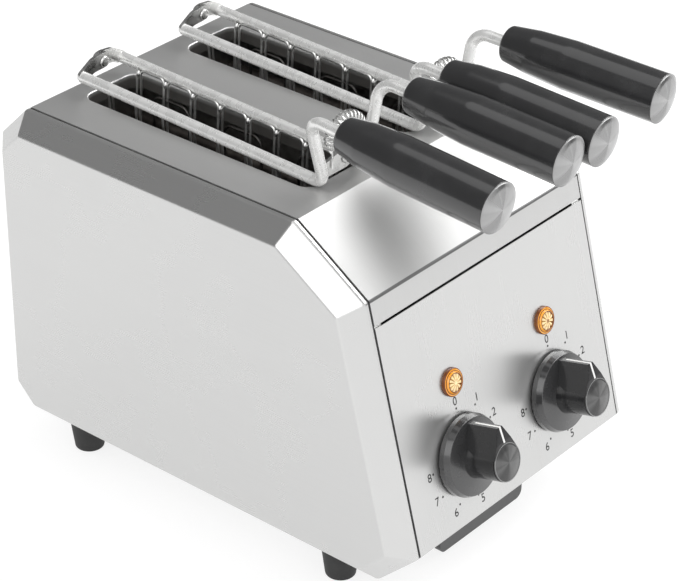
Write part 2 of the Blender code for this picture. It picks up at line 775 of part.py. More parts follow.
def knob(name, x, plastic, hinge):
    """A skirted timer knob with a pointed grip, bored for its shaft."""
    profile = [
        (0, KNOB_CAP_LEVEL + KNOB_CAP_RISE),
        (KNOB_GRIP_RADIUS / 2, KNOB_CAP_LEVEL + KNOB_CAP_RISE * 3 / 4),
        (KNOB_GRIP_RADIUS - KNOB_EDGE, KNOB_CAP_LEVEL),
        (KNOB_GRIP_RADIUS, KNOB_CAP_LEVEL - KNOB_EDGE),
        (KNOB_GRIP_ROOT_RADIUS, KNOB_ROOT_LEVEL),
        (KNOB_FACE_RADIUS, KNOB_FACE_LEVEL),
        (KNOB_SKIRT_RADIUS, KNOB_RIM_LEVEL),
        (KNOB_SKIRT_RADIUS, KNOB_CLEARANCE),
        (0, KNOB_CLEARANCE),
    ]
    body = turned(name, profile, plastic, 28)
    bm = bmesh.new()
    level = KNOB_FACE_LEVEL - KNOB_EDGE
    outline = [Vector((side, up, level)) for side, up in knob_outline()]
    prism_into(bm, outline, (0, 0, KNOB_CAP_LEVEL - KNOB_EDGE - level))
    fin = add_object(name + "_fin", mesh_from(bm, name + "_fin"))
    fall = KNOB_CAP_LEVEL - FIN_CORNER_LEVEL
    run = FIN_REACH - KNOB_GRIP_RADIUS
    bm = bmesh.new()
    wedge = (
        (-KNOB_SKIRT_RADIUS, KNOB_GRIP_RADIUS, KNOB_CAP_LEVEL - KNOB_EDGE / 2),
        (-KNOB_SKIRT_RADIUS, FIN_REACH + run, FIN_CORNER_LEVEL - fall),
        (-KNOB_SKIRT_RADIUS, FIN_REACH + run, KNOB_CAP_LEVEL),
    )
    prism_into(bm, [Vector(point) for point in wedge], (2 * KNOB_SKIRT_RADIUS, 0, 0))
    slope = add_object(name + "_fin_slope", mesh_from(bm, name + "_fin_slope"))
    boolean(fin, slope, "DIFFERENCE")
    bm = bmesh.new()
    mouth = Vector((0, 0, KNOB_CLEARANCE - OVERRUN))
    end = Vector((0, 0, KNOB_CLEARANCE + KNOB_HUB_DEPTH))
    rod_into(bm, SHAFT_RADIUS + GAP, mouth, end, 16)
    bore = add_object(name + "_bore", mesh_from(bm, name + "_bore"))
    boolean(body, fin, "UNION")
    boolean(body, bore, "DIFFERENCE")
    frame = panel_frame(x, KNOB_DROP)
    for obj in (fin, slope, bore, body):
        obj.matrix_world = frame
    carry(body, hinge)
    return body


def controls(front, plastic, steel, amber):
    holes = []
    inside = -SHEET - OVERRUN
    for label, x in (("left", -SLOT_CENTRE), ("right", SLOT_CENTRE)):
        for radius, drop in ((TIMER_BUSH_RADIUS, KNOB_DROP), (LAMP_STEM_RADIUS, LAMP_DROP)):
            holes.append((radius + GAP, on_panel(x, drop, OVERRUN), on_panel(x, drop, inside)))
        hinge = joint_empty(label + "_timer_hinge", on_panel(x, KNOB_DROP))
        knob(label + "_timer_knob", x, plastic, hinge)
        timer(label, x, plastic, steel, hinge)
        lamp(label, x, plastic, amber)
    drill((front,), "control_holes", holes)


def timer(label, x, plastic, steel, hinge):
    """The clockwork timer behind the panel with its threaded bush, and its shaft."""
    top = -SHEET - GAP
    frame = panel_frame(x, KNOB_DROP)
    bm = bmesh.new()
    box_into(bm, (TIMER_SIZE, TIMER_SIZE, TIMER_DEPTH), Vector((0, 0, top - TIMER_DEPTH / 2)))
    body = bevel(add_object(label + "_timer", mesh_from(bm, label + "_timer"), plastic), TIMER_EDGE)
    cuts = {
        "bush": (TIMER_BUSH_RADIUS, top - TIMER_EDGE, KNOB_CLEARANCE - GAP, "UNION"),
        "bore": (SHAFT_RADIUS + GAP, -SHEET - SHAFT_INSIDE - GAP, OVERRUN, "DIFFERENCE"),
    }
    for kind, (radius, low, high, operation) in cuts.items():
        bm = bmesh.new()
        rod_into(bm, radius, Vector((0, 0, low)), Vector((0, 0, high)), 16)
        other = add_object(label + "_timer_" + kind, mesh_from(bm, label + "_timer_" + kind))
        other.matrix_world = frame
        boolean(body, other, operation)
    body.matrix_world = frame
    shaft_top = KNOB_CLEARANCE + KNOB_HUB_DEPTH - GAP
    shaft_end = -SHEET - SHAFT_INSIDE
    profile = [(0, shaft_top), (SHAFT_RADIUS, shaft_top), (SHAFT_RADIUS, shaft_end), (0, shaft_end)]
    shaft = turned(label + "_timer_shaft", profile, steel, 16)
    shaft.matrix_world = frame
    carry(shaft, hinge)


def lamp(label, x, plastic, amber):
    """A signal lamp: an amber lens with its rim and stem, and the body behind the panel."""
    frame = panel_frame(x, LAMP_DROP)
    stem_end = -SHEET - GAP
    profile = [
        (0, LAMP_LENS_HEIGHT),
        (LAMP_LENS_RADIUS - LAMP_EDGE, LAMP_LENS_HEIGHT),
        (LAMP_LENS_RADIUS, LAMP_LENS_HEIGHT - LAMP_EDGE),
        (LAMP_LENS_RADIUS, LAMP_RIM_HEIGHT),
        (LAMP_RIM_RADIUS - LAMP_EDGE, LAMP_RIM_HEIGHT),
        (LAMP_RIM_RADIUS, LAMP_RIM_HEIGHT - LAMP_EDGE),
        (LAMP_RIM_RADIUS, GAP),
        (LAMP_STEM_RADIUS, GAP),
        (LAMP_STEM_RADIUS, stem_end),
        (0, stem_end),
    ]
    turned(label + "_lamp_lens", profile, amber, 20).matrix_world = frame
    start = stem_end - GAP
    profile = [
        (0, start),
        (LAMP_BODY_RADIUS, start),
        (LAMP_BODY_RADIUS, start - LAMP_BODY_LENGTH / 2),
        (LAMP_STEM_RADIUS, start - LAMP_BODY_LENGTH / 2),
        (LAMP_STEM_RADIUS, start - LAMP_BODY_LENGTH),
        (0, start - LAMP_BODY_LENGTH),
    ]
    turned(label + "_lamp_body", profile, plastic, 16).matrix_world = frame


def cord_gland(plastic):
    """The gland in the back panel that the supply cord passes through."""
    profile = [
        (GLAND_BORE, GLAND_REACH),
        (GLAND_NOSE_RADIUS, GLAND_REACH),
        (GLAND_RADIUS, GLAND_RIM),
        (GLAND_RADIUS, GAP),
        (GLAND_NECK_RADIUS, GAP),
        (GLAND_NECK_RADIUS, -GLAND_INSIDE),
        (GLAND_BORE, -GLAND_INSIDE),
        (GLAND_BORE, GLAND_REACH),
    ]
    gland = turned("cable_gland", profile, plastic, 20)
    place = gland_place()
    gland.matrix_world = aim(place, place + Vector((0, GLAND_REACH, 0)))


def lug_arc(x, z, radius, first, last, steps=6):
    """Points round a lug's end, in the plane across the slot."""
    turn = (last - first) / steps
    angles = [first + turn * step for step in range(steps + 1)]
    return [(x + radius * cos(angle), z + radius * sin(angle)) for angle in angles]


def rear_lug_outline(side):
    """A link from the rod's end to the rivet."""
    rod = Vector((side * ROD_SPREAD, ROD_BACK_RISE))
    rivet = Vector((0, AXIS_RISE))
    way = rod - rivet
    lean = atan2(way.y, way.x)
    half = pi / 2 + atan2(LUG_RADIUS - LUG_ROD_RADIUS, way.length)
    round_rod = lug_arc(rod.x, rod.y, LUG_ROD_RADIUS, lean - (pi - half), lean + (pi - half))
    round_rivet = lug_arc(rivet.x, rivet.y, LUG_RADIUS, lean + (pi - half), lean + (pi + half))
    return round_rod + round_rivet


def front_lug_outline(side):
    """A plate from the neck to the pivot pin, round at the pin and lower at the neck."""
    reach = side * LUG_REACH
    low = AXIS_RISE - LUG_RADIUS
    high = AXIS_RISE + LUG_REACH_RISE
    end = lug_arc(0, AXIS_RISE, LUG_RADIUS, pi / 2, pi / 2 + side * pi, 8)
    return [(reach, low), (reach, high)] + end


def lug(name, x, outline, y):
    """A flat lug across the slot, to be welded to a bar."""
    bm = bmesh.new()
    prism_into(bm, [at(x + across, y, CASING_HEIGHT + up) for across, up in outline], (0, LUG_SHEET, 0))
    return add_object(name, mesh_from(bm, name))


def grip_axis(x, side, spreads):
    """The grip's centre line, from above the neck to the tip."""
    neck = at(x + side * spreads[0], NECK_Y, CASING_HEIGHT + GRIP_LINE_RISE)
    tip = at(x + side * spreads[1], GRIP_FRONT_Y, CASING_HEIGHT + GRIP_TIP_RISE)
    return neck, tip


def mesh_of(curve_obj, finish=None):
    """The closed mesh of a wire, in place of the wire itself."""
    bpy.context.view_layer.update()
    graph = bpy.context.evaluated_depsgraph_get()
    mesh = bpy.data.meshes.new_from_object(curve_obj.evaluated_get(graph))
    bm = bmesh.new()
    bm.from_mesh(mesh)
    bmesh.ops.remove_doubles(bm, verts=bm.verts, dist=MERGE_DISTANCE)
    bm.to_mesh(mesh)
    bm.free()
    name = curve_obj.name
    place = curve_obj.matrix_world.copy()
    bpy.data.objects.remove(curve_obj, do_unlink=True)
    mesh.materials.clear()
    obj = add_object(name, mesh, finish, smooth=finish is not None)
    obj.matrix_world = place
    return obj


def arm(name, x, side, spreads, layer, steel):
    """One tong half: a round bar along the slot, up the neck and into the grip, with its lugs."""
    neck, tip = grip_axis(x, side, spreads)
    along = (tip - neck).normalized()
    into_grip = (NECK_Y - GRIP_BACK_Y) + GRIP_BORE_DEPTH - GAP
    rod_x = x + side * ROD_SPREAD
    corners = [
        at(rod_x, ROD_BACK + layer + LUG_SHEET / 2, CASING_HEIGHT + ROD_BACK_RISE),
        at(rod_x, NECK_Y, CASING_HEIGHT + ROD_FRONT_RISE),
        neck,
        neck + along * into_grip,
    ]
    path = rounded_path(corners, (NECK_BEND, GRIP_BEND), 4)
    bar = mesh_of(wires(name, [path], ROD_RADIUS, steel, 2), steel)
    boolean(bar, lug(name + "_rear_lug", x, rear_lug_outline(side), ROD_BACK + layer), "UNION")
    boolean(bar, lug(name + "_front_lug", x, front_lug_outline(side), FRONT_LUG_Y + layer), "UNION")
    start = at(x, NECK_Y - ROD_RADIUS, CASING_HEIGHT + AXIS_RISE)
    end = at(x, ROD_BACK + layer + LUG_SHEET + OVERRUN, CASING_HEIGHT + AXIS_RISE)
    drill((bar,), name + "_pin_holes", [(RIVET_RADIUS + GAP, start, end)])
    return bar


def grip(name, x, side, spreads, plastic):
    """The moulded grip: a cone, then a cylinder with a domed cap, bored for the bar."""
    neck, tip = grip_axis(x, side, spreads)
    along = (tip - neck).normalized()
    start = neck + along * (NECK_Y - GRIP_BACK_Y)
    bore = ROD_RADIUS + GAP
    taper = GRIP_LENGTH * GRIP_TAPER_SHARE
    middle_radius = (GRIP_BACK_RADIUS + 2 * GRIP_RADIUS) / 3
    profile = [
        (0, GRIP_LENGTH + GRIP_DOME),
        (GRIP_RADIUS / 2, GRIP_LENGTH + GRIP_DOME * 3 / 4),
        (GRIP_RADIUS, GRIP_LENGTH),
        (GRIP_RADIUS, taper),
        (middle_radius, taper / 2),
        (GRIP_BACK_RADIUS, GRIP_EDGE),
        (GRIP_BACK_RADIUS - GRIP_EDGE / 3, GRIP_EDGE / 3),
        (GRIP_BACK_RADIUS - GRIP_EDGE, 0),
        (bore, 0),
        (bore, GRIP_BORE_DEPTH),
        (0, GRIP_BORE_DEPTH),
    ]
    obj = turned(name, profile, plastic, 18)
    obj.matrix_world = aim(start, tip)
    return obj


def cage(name, x, side, bright):
    """A wire hung along one bar that runs down and up in narrow loops, which close in under the food."""
    offset = ROD_SPREAD - ROD_RADIUS - GAP - CAGE_RADIUS
    slope = (ROD_BACK_RISE - ROD_FRONT_RISE) / (ROD_BACK - NECK_Y)
    pitch = (SLOT_BACK - SLOT_FRONT - CAGE_FIRST - CAGE_LAST) / (CAGE_COUNT - 1)
    corners = []
    radii = []
    for index in range(CAGE_COUNT):
        row = SLOT_FRONT + CAGE_FIRST + index * pitch
        ends = []
        for y in (row - CAGE_LOOP_HALF, row + CAGE_LOOP_HALF):
            top = CASING_HEIGHT + ROD_FRONT_RISE + (y - NECK_Y) * slope
            ends.append((at(x + side * offset, y, top), at(x + side * CAGE_BOTTOM_SPREAD, y, CAGE_BOTTOM)))
        corners += [ends[0][0], ends[0][1], ends[1][1], ends[1][0]]
        radii += [CAGE_BEND, CAGE_LOOP_HALF, CAGE_LOOP_HALF, CAGE_BEND]
    return wires(name, [rounded_path(corners, radii[1:-1], 2)], CAGE_RADIUS, bright)


def rivet(name, x, start_y, end_y, steel):
    """A headed pin along Y that clamps two lugs."""
    length = end_y - start_y + 2 * GAP
    profile = [
        (0, length + RIVET_HEAD_HEIGHT),
        (RIVET_HEAD_RADIUS / 2, length + RIVET_HEAD_HEIGHT),
        (RIVET_HEAD_RADIUS, length + RIVET_HEAD_HEIGHT / 2),
        (RIVET_HEAD_RADIUS, length),
        (RIVET_RADIUS, length),
        (RIVET_RADIUS, 0),
        (RIVET_HEAD_RADIUS, 0),
        (RIVET_HEAD_RADIUS, -RIVET_HEAD_HEIGHT / 2),
        (RIVET_HEAD_RADIUS / 2, -RIVET_HEAD_HEIGHT),
        (0, -RIVET_HEAD_HEIGHT),
    ]
    obj = turned(name, profile, steel, 10)
    place = at(x, start_y - GAP, CASING_HEIGHT + AXIS_RISE)
    obj.matrix_world = aim(place, place + Vector((0, length, 0)))
    return obj


def spring_path(x):
    """A coil that arches from one side of the pin to the other, with straight legs."""
    left_y = FRONT_LUG_Y - GAP - SPRING_WIRE_RADIUS
    right_y = FRONT_LUG_Y + LUG_SHEET + LUG_LAYER_GAP - GAP - SPRING_WIRE_RADIUS
    middle_y = (left_y + right_y) / 2
    count = SPRING_TURNS * SPRING_TURN_POINTS
    path = [at(x - SPRING_ARCH_RADIUS, left_y, CASING_HEIGHT + SPRING_LEG_BOTTOM)]
    for step in range(count + 1):
        share = step / count
        sweep = pi * (1 - share)
        turn = 2 * pi * SPRING_TURNS * share
        rise = min(1, 2 * SPRING_TURNS * share, 2 * SPRING_TURNS * (1 - share))
        radius = SPRING_ARCH_RADIUS + SPRING_COIL_RADIUS * rise * sin(turn)
        sideways = SPRING_COIL_RADIUS * rise * cos(turn)
        path.append(at(
            x + radius * cos(sweep),
            middle_y - sideways + (middle_y - left_y) * cos(sweep) * (1 - rise),
            CASING_HEIGHT + SPRING_ARCH_RISE + radius * sin(sweep)))
    path.append(at(x + SPRING_ARCH_RADIUS, right_y, CASING_HEIGHT + SPRING_LEG_BOTTOM))
    return path


def least_gap(path, skip):
    """The least clear distance between a wire's points that are more than a few apart."""
    least = min(
        (first - second).length
        for index, first in enumerate(path)
        for second in path[index + skip:])
    return least - 2 * SPRING_WIRE_RADIUS


def tong(label, x, steel, bright, plastic):
    """One lift out tong: a pinned frame, and two sprung halves that turn about it."""
    lift = joint_empty(label + "_lift", at(x, FRONT_LUG_Y, CASING_HEIGHT + AXIS_RISE))
    layer = LUG_SHEET + LUG_LAYER_GAP
    front_pin = rivet(label + "_front_pin", x, FRONT_LUG_Y, FRONT_LUG_Y + layer + LUG_SHEET, steel)
    rear_pin = rivet(label + "_rear_rivet", x, ROD_BACK, ROD_BACK + layer + LUG_SHEET, steel)
    path = spring_path(x)
    spring = wires(label + "_spring", [path], SPRING_WIRE_RADIUS, steel)
    print(label, "spring clear by", round(least_gap(path, SPRING_TURN_POINTS - 3) * 1000, 2), "mm")
    for obj in (front_pin, rear_pin, spring):
        carry(obj, lift)
    for half, side in (("left", -1), ("right", 1)):
        name = label + "_" + half
        standoffs = GRIP_STANDOFFS[label][half]
        outer = side * x > 0
        spreads = [ROD_SPREAD + reach if outer else SLOT_CENTRE - reach for reach in standoffs]
        back_layer = layer if side > 0 else 0
        pivot = joint_empty(name + "_pivot", at(x, FRONT_LUG_Y, CASING_HEIGHT + AXIS_RISE), lift)
        pieces = (
            arm(name + "_arm", x, side, spreads, back_layer, steel),
            cage(name + "_cage", x, side, bright),
            grip(name + "_grip", x, side, spreads, plastic),
        )
        for obj in pieces:
            carry(obj, pivot)


def build():
    start_scene()
    steel = material("stainless_steel", (0.62, 0.62, 0.61), 0.32, 1.0)
    bright = material("bright_wire", (0.75, 0.75, 0.74), 0.22, 1.0)
    dark = material("sheathed_element", (0.05, 0.05, 0.05), 0.5, 0.6)
    black = material("black_plastic", (0.02, 0.02, 0.02), 0.3)
    rubber = material("black_rubber", (0.015, 0.015, 0.015), 0.6)
    amber = material("amber_lens", (0.9, 0.42, 0.06), 0.15)
    front = casing(steel)
    feet(rubber, steel)
    front_y, back_y = chassis(steel)
    reflectors(bright, front_y, back_y)
    heating(dark, front_y, back_y)
    for label, x in (("left", -SLOT_CENTRE), ("right", SLOT_CENTRE)):
        guard(label + "_slot_left_guard", x - GUARD_SPREAD, bright, front_y, back_y)
        guard(label + "_slot_right_guard", x + GUARD_SPREAD, bright, front_y, back_y)
    crumb_tray(steel, black)
    tray_guides(steel)
    controls(front, black, steel, amber)
    cord_gland(black)
    tong("first_tong", -SLOT_CENTRE, steel, bright, black)
    tong("second_tong", SLOT_CENTRE, steel, bright, black)


build()
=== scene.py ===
import json
from math import atan2, cos, pi, radians, sin, sqrt, tan

import bmesh
import bpy
from bmesh.types import BMFace, BMVert
from mathutils import Matrix, Vector

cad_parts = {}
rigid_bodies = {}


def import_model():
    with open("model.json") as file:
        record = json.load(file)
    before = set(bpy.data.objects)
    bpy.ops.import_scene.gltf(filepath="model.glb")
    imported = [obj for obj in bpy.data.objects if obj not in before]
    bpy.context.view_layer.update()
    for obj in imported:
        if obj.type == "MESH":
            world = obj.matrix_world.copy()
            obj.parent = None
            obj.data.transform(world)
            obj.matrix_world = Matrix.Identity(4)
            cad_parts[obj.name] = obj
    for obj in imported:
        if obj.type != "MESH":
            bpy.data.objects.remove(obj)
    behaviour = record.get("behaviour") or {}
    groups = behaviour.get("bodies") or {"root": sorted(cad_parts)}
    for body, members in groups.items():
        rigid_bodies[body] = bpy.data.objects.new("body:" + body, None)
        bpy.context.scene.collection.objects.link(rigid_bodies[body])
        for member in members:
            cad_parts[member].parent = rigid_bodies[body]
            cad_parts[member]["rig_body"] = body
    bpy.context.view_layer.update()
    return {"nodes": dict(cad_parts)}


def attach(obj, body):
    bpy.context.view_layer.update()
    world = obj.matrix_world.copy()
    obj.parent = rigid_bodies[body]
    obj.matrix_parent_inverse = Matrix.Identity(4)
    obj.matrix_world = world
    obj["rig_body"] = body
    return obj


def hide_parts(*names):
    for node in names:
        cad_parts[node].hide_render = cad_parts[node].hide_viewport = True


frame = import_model()
scene = bpy.context.scene

# Casing sizes in metres, as the solids have them
GAP = 0.0003
SEAM = 0.0008
SHEET = 0.001
CASING_WIDTH = 0.220
CASING_DEPTH = 0.3146
CASING_HEIGHT = 0.2086
FRONT_CHAMFER_RUN = 0.0268
FRONT_CHAMFER_RISE = 0.0257
SLOPE_RISE = 0.0326
PANEL_LEAN = radians(14.5)
SLOPE_ANGLE = radians(33.1)
BACK_TOP_CHAMFER = 0.0212
BACK_BOTTOM_CHAMFER = 0.0193
LIP_HEIGHT = 0.0145
BACK_FOLD = 0.010
BASE_END_GAP = 0.0015
BEVEL_INSET = 0.0114
BEVEL_DEPTH = 0.0118
RIM_BAND = 0.0025
FLANGE_REACH = 0.008
SLOT_WIDTH = 0.044
SLOT_CORNER = 0.008
COLLAR_DEPTH = 0.009
FOOT_HEIGHT = 0.024
MIDDLE_Y = 0.1487892610
VENT_COUNT = 9
VENT_PITCH = 0.014
VENT_HALF_WIDTH = 0.002
VENT_REACH = 0.013
VENT_LEVEL = CASING_HEIGHT - 0.0736
SIDE_BEND = 0.0011
SHAFT_HOLE = 0.005
GLAND_HOLE = 0.0068
FOOT_MARGIN = 0.0129
FRONT_FOOT_MARGIN = 0.0412
REAR_FOOT_MARGIN = 0.0233
FOOT_BORE = 0.0023
TRAY_MARGIN = 0.0329
TRAY_FRONT_MARGIN = 0.0072
TRAY_BACK_MARGIN = 0.0093
TRAY_DROP = 0.0006
TRAY_DEPTH = 0.010
TRAY_FLANGE = 0.004
TRAY_SHEET = 0.0008

# The tray's handle, as the photo shows it
HANDLE_HALF = 0.0396
HANDLE_DROP = 0.0168
HANDLE_CORNER = 0.0052
HANDLE_THICKNESS = 0.0048
HANDLE_ASIDE = 0.0012

# Places that the solids work out from those sizes
LIP_Z = CASING_HEIGHT - SLOPE_RISE
PANEL_LENGTH = (LIP_Z - FRONT_CHAMFER_RISE) / cos(PANEL_LEAN)
LIP_Y = PANEL_LENGTH * sin(PANEL_LEAN)
DECK_FRONT = LIP_Y + SLOPE_RISE / tan(SLOPE_ANGLE)
PANEL_HALF = CASING_WIDTH / 2
COVER_HALF = PANEL_HALF - BEVEL_DEPTH - RIM_BAND - SEAM
BASE_BACK = CASING_DEPTH - BACK_BOTTOM_CHAMFER
SLOT_CENTRE = COVER_HALF * 0.4552
SLOT_FRONT = DECK_FRONT + 0.0171
SLOT_BACK = CASING_DEPTH - BACK_TOP_CHAMFER - 0.0134
KNOB_DROP = PANEL_LENGTH - 0.0399
LAMP_DROP = KNOB_DROP - 0.0449
GLAND_PLACE = (COVER_HALF - 0.0349, CASING_DEPTH, 0.038)
PANEL_DOWN = Vector((0, -sin(PANEL_LEAN), -cos(PANEL_LEAN)))
PANEL_OUT = Vector((0, -cos(PANEL_LEAN), sin(PANEL_LEAN)))
OUTLINE = [
    (FRONT_CHAMFER_RUN, 0),
    (0, FRONT_CHAMFER_RISE),
    (LIP_Y, LIP_Z),
    (DECK_FRONT, CASING_HEIGHT),
    (CASING_DEPTH - BACK_TOP_CHAMFER, CASING_HEIGHT),
    (CASING_DEPTH, CASING_HEIGHT - BACK_TOP_CHAMFER),
    (CASING_DEPTH, BACK_BOTTOM_CHAMFER),
    (BASE_BACK, 0),
]

# Sheet edges and folds, drawn in a little for the dark seams that the photo shows
FOLD = 0.0014
LIP_FOLD = 0.0024
LIP_GAP = 0.0016
COLLAR_ROLL = 0.0010
SHEET_LEFT = COVER_HALF - 0.0009
SHEET_RIGHT = COVER_HALF - 0.0001
LIP_END = (LIP_Y + PANEL_DOWN.y * LIP_HEIGHT, LIP_Z + PANEL_DOWN.z * LIP_HEIGHT)
# The black strip of painted shade that darkens each side seam
SHADE_STRIP_OVERLAP = 0.0001
SHADE_STRIP_TOP = 0.00055
SHADE_STRIP_FOOT = 0.00125

# Heating, inside
BULKHEAD_MARGIN = 0.008
ELEMENT_RADIUS = 0.004
ELEMENT_LOWEST = 0.095
ELEMENT_HIGHEST = CASING_HEIGHT - 0.0336
ELEMENT_TAIL = 0.011
ELEMENT_TURN_MARGIN = 0.012
ELEMENT_OUTER_SHARE = 0.2357
ELEMENT_INNER_SHARE = 0.3302
GUARD_RADIUS = 0.0009
GUARD_SPREAD = 0.0206
GUARD_BOTTOM = 0.070
GUARD_TOP = CASING_HEIGHT - COLLAR_DEPTH - 0.0012
GUARD_BEND = 0.006
GUARD_COUNT = 6
GUARD_FIRST = 0.016

# Tongs
ROD_RADIUS = 0.0035
ROD_SPREAD = 0.0172
ROD_BACK = SLOT_BACK + 0.0032
ROD_BACK_RISE = 0.0097
ROD_FRONT_RISE = ROD_RADIUS + GAP
NECK_Y = SLOT_FRONT - 0.007
NECK_BEND = 0.0075
GRIP_BEND = 0.010
GRIP_LINE_RISE = 0.049
GRIP_TIP_RISE = 0.041
GRIP_LEAD = 0.018
GRIP_LENGTH = 0.109
GRIP_FRONT_Y = NECK_Y - GRIP_LEAD - GRIP_LENGTH
GRIP_BACK_RADIUS = 0.0102
GRIP_RADIUS = 0.0145
GRIP_TAPER_SHARE = 0.42
GRIP_DOME = 0.003
GRIP_BORE_DEPTH = 0.030
AXIS_RISE = 0.0139
LUG_SHEET = 0.002
LUG_LAYER = 0.0025
LUG_RADIUS = 0.0063
LUG_HOLE = 0.0028
LUG_REACH = 0.020
LUG_REACH_RISE = 0.002
FRONT_LUG_Y = SLOT_FRONT - 0.0078
RIVET_RADIUS = 0.0025
RIVET_HEAD_RADIUS = 0.0035
RIVET_HEAD_HEIGHT = 0.0013
CAGE_RADIUS = 0.0009
CAGE_THINNING = 0.0002
CAGE_BOTTOM = 0.080
CAGE_BOTTOM_SPREAD = 0.0033
CAGE_BEND = 0.003
CAGE_LOOP_HALF = 0.0017
CAGE_COUNT = 8
CAGE_FIRST = 0.0104
CAGE_LAST = 0.0131
CAGE_PITCH = (SLOT_BACK - SLOT_FRONT - CAGE_FIRST - CAGE_LAST) / (CAGE_COUNT - 1)
CAGE_SLOPE = (ROD_BACK_RISE - ROD_FRONT_RISE) / (ROD_BACK - NECK_Y)
SPRING_WIRE_RADIUS = 0.0006
SPRING_COIL_RADIUS = 0.0039
SPRING_ARCH_RADIUS = 0.0125
SPRING_ARCH_RISE = 0.0250
SPRING_TURNS = 15
SPRING_TURN_POINTS = 24
SPRING_LEG_BOTTOM = 0.012
GRIP_STANDOFFS = {
    "first_tong": {"left": (0.0128, 0.0146), "right": (0.0132, 0.0107)},
    "second_tong": {"left": (0.0162, 0.0197), "right": (0.0108, 0.0223)},
}
# How far each grip's back end is drawn forward, and how much longer it is than its solid
GRIP_TRIMS = {
    "first_tong_left": (0.0069, 0.0014),
    "first_tong_right": (0.0040, -0.0008),
    "second_tong_left": (0.0056, 0.0004),
    "second_tong_right": (0.0044, -0.0034),
}

# Knob, dial and lamp
KNOB_CLEARANCE = 0.0012
KNOB_SKIRT_RADIUS = 0.0242
KNOB_FACE_RADIUS = 0.0228
KNOB_RIM_LEVEL = 0.0045
KNOB_FACE_LEVEL = 0.008
KNOB_ROOT_LEVEL = 0.010
KNOB_GRIP_RADIUS = 0.0115
KNOB_GRIP_ROOT_RADIUS = 0.012
KNOB_CAP_LEVEL = 0.031
KNOB_CAP_FOOT = KNOB_CAP_LEVEL - 0.0016
KNOB_CAP_RISE = 0.0008
# Section radius of the grey ring of painted highlight at the cap's edge
KNOB_HIGHLIGHT_RING_RADIUS = 0.00026
FIN_REACH = 0.0215
FIN_TIP_WIDTH = 0.0046
FIN_CORNER_LEVEL = 0.0294
FIN_EDGE = 0.0004
LINE_HALF_WIDTH = 0.00065
LINE_PROUD = 0.00012
LINE_START = KNOB_GRIP_RADIUS + 0.0006
DIAL_STEP = radians(34)
DOT_RING = 0.0285
DOT_RADIUS = 0.0007
NUMBER_RING = 0.0328
NUMBER_SIZE = 0.0072
INK_HEIGHT = 0.00002
NUMBER_SHIFTS = {5: (0.0026, 0.0005), 6: (-0.0024, 0.0005), 7: (-0.0015, 0.0015), 8: (0.0010, -0.0012)}
LAMP_RIM_RADIUS = 0.0082
LAMP_RIM_HEIGHT = 0.0022
LAMP_LENS_RADIUS = 0.0058
LAMP_STEM_RADIUS = 0.0055
LAMP_RINGS = (
    ("groove",
     ((0.0052, 0.0020), (0.0052, 0.0034), (0.0057, 0.0034), (0.0062, 0.0029), (0.0062, 0.0020),
      (0.0052, 0.0020)),
     (0.0004, 0.0004, 0.0004, 0.0001), 4),
    ("foot_ring",
     ((0.0077, 0.0010), (0.0077, 0.0021), (0.0079, 0.0021), (0.0083, 0.0016), (0.0083, 0.0003),
      (0.0077, 0.0003), (0.0077, 0.0010)),
     (0.0002, 0.0003, 0.0003, 0.0001, 0.0001), 4),
    ("middle_ring",
     ((0.0066, 0.0016), (0.0066, 0.0024), (0.0070, 0.0024), (0.0070, 0.0016), (0.0066, 0.0016)),
     (0.0001, 0.0001, 0.0001), 3),
)
STAR_TEETH = 11
STAR_RINGS = (
    (0.0053, 0.0016, 0.0), (0.0052, 0.0030, 0.0010), (0.0036, 0.0034, 0.0010), (0.0022, 0.0035, 0.0008),
    (0.0012, 0.0036, 0.0004),
)

# Studio
CARD_DISTANCE = 4
LAMP_DISTANCE = 3.2
LAMP_TARGET = Vector((0, 0, 0.12))

# Material slots, and the ways that sheets are brushed
STAINLESS = "stainless_steel"
BRIGHT = "bright_wire"
BLACK = "black_plastic"
AMBER = "amber_lens"
CROSSWISE = ((1800.0, 12.0, 12.0), (1.0, 0.0, 0.0))
LEVEL = ((1500.0, 8.0, 1500.0), (0.0, 0.0, 1.0))


def at(x, y, z):
    """A place measured from the casing's middle, its front bottom edge and its underside."""
    return Vector((x, y - MIDDLE_Y, z + FOOT_HEIGHT))


def over_deck(x, y, rise):
    return at(x, y, CASING_HEIGHT + rise)


def panel_frame(x, drop):
    """The transform of a control below the lip's corner: +Z out of the panel and +Y up it."""
    place = at(x, LIP_Y, LIP_Z) + PANEL_DOWN * drop
    return Matrix.Translation(place) @ Matrix.Rotation(pi / 2 - PANEL_LEAN, 4, "X")


def aim(start, end):
    """The transform that stands +Z along the line from start to end, at start."""
    turn = (end - start).to_track_quat("Z", "Y")
    return Matrix.Translation(start) @ turn.to_matrix().to_4x4()


def facing_back(x, y, z):
    """The transform that stands +Z towards the back, at a place."""
    place = at(x, y, z)
    return aim(place, place + Vector((0, 1, 0)))


def rounded_path(corners, radii, steps):
    """A path through corners, each one rounded by its own radius."""
    path = [Vector(corners[0])]
    for before, corner, after, radius in zip(corners, corners[1:], corners[2:], radii):
        back = (before - corner).normalized()
        ahead = (after - corner).normalized()
        half = back.angle(ahead) / 2
        reach = radius / tan(half)
        middle = corner + (back + ahead).normalized() * (radius / sin(half))
        start = (corner + back * reach - middle).normalized()
        end = (corner + ahead * reach - middle).normalized()
        path += [middle + start.slerp(end, step / steps) * radius for step in range(steps + 1)]
    return path + [Vector(corners[-1])]


def put(item, **settings):
    """Set several settings on an item and give it back."""
    for key, value in settings.items():
        setattr(item, key, value)
    return item


def new_object(name, data):
    obj = bpy.data.objects.new(name, data)
    scene.collection.objects.link(obj)
    return obj


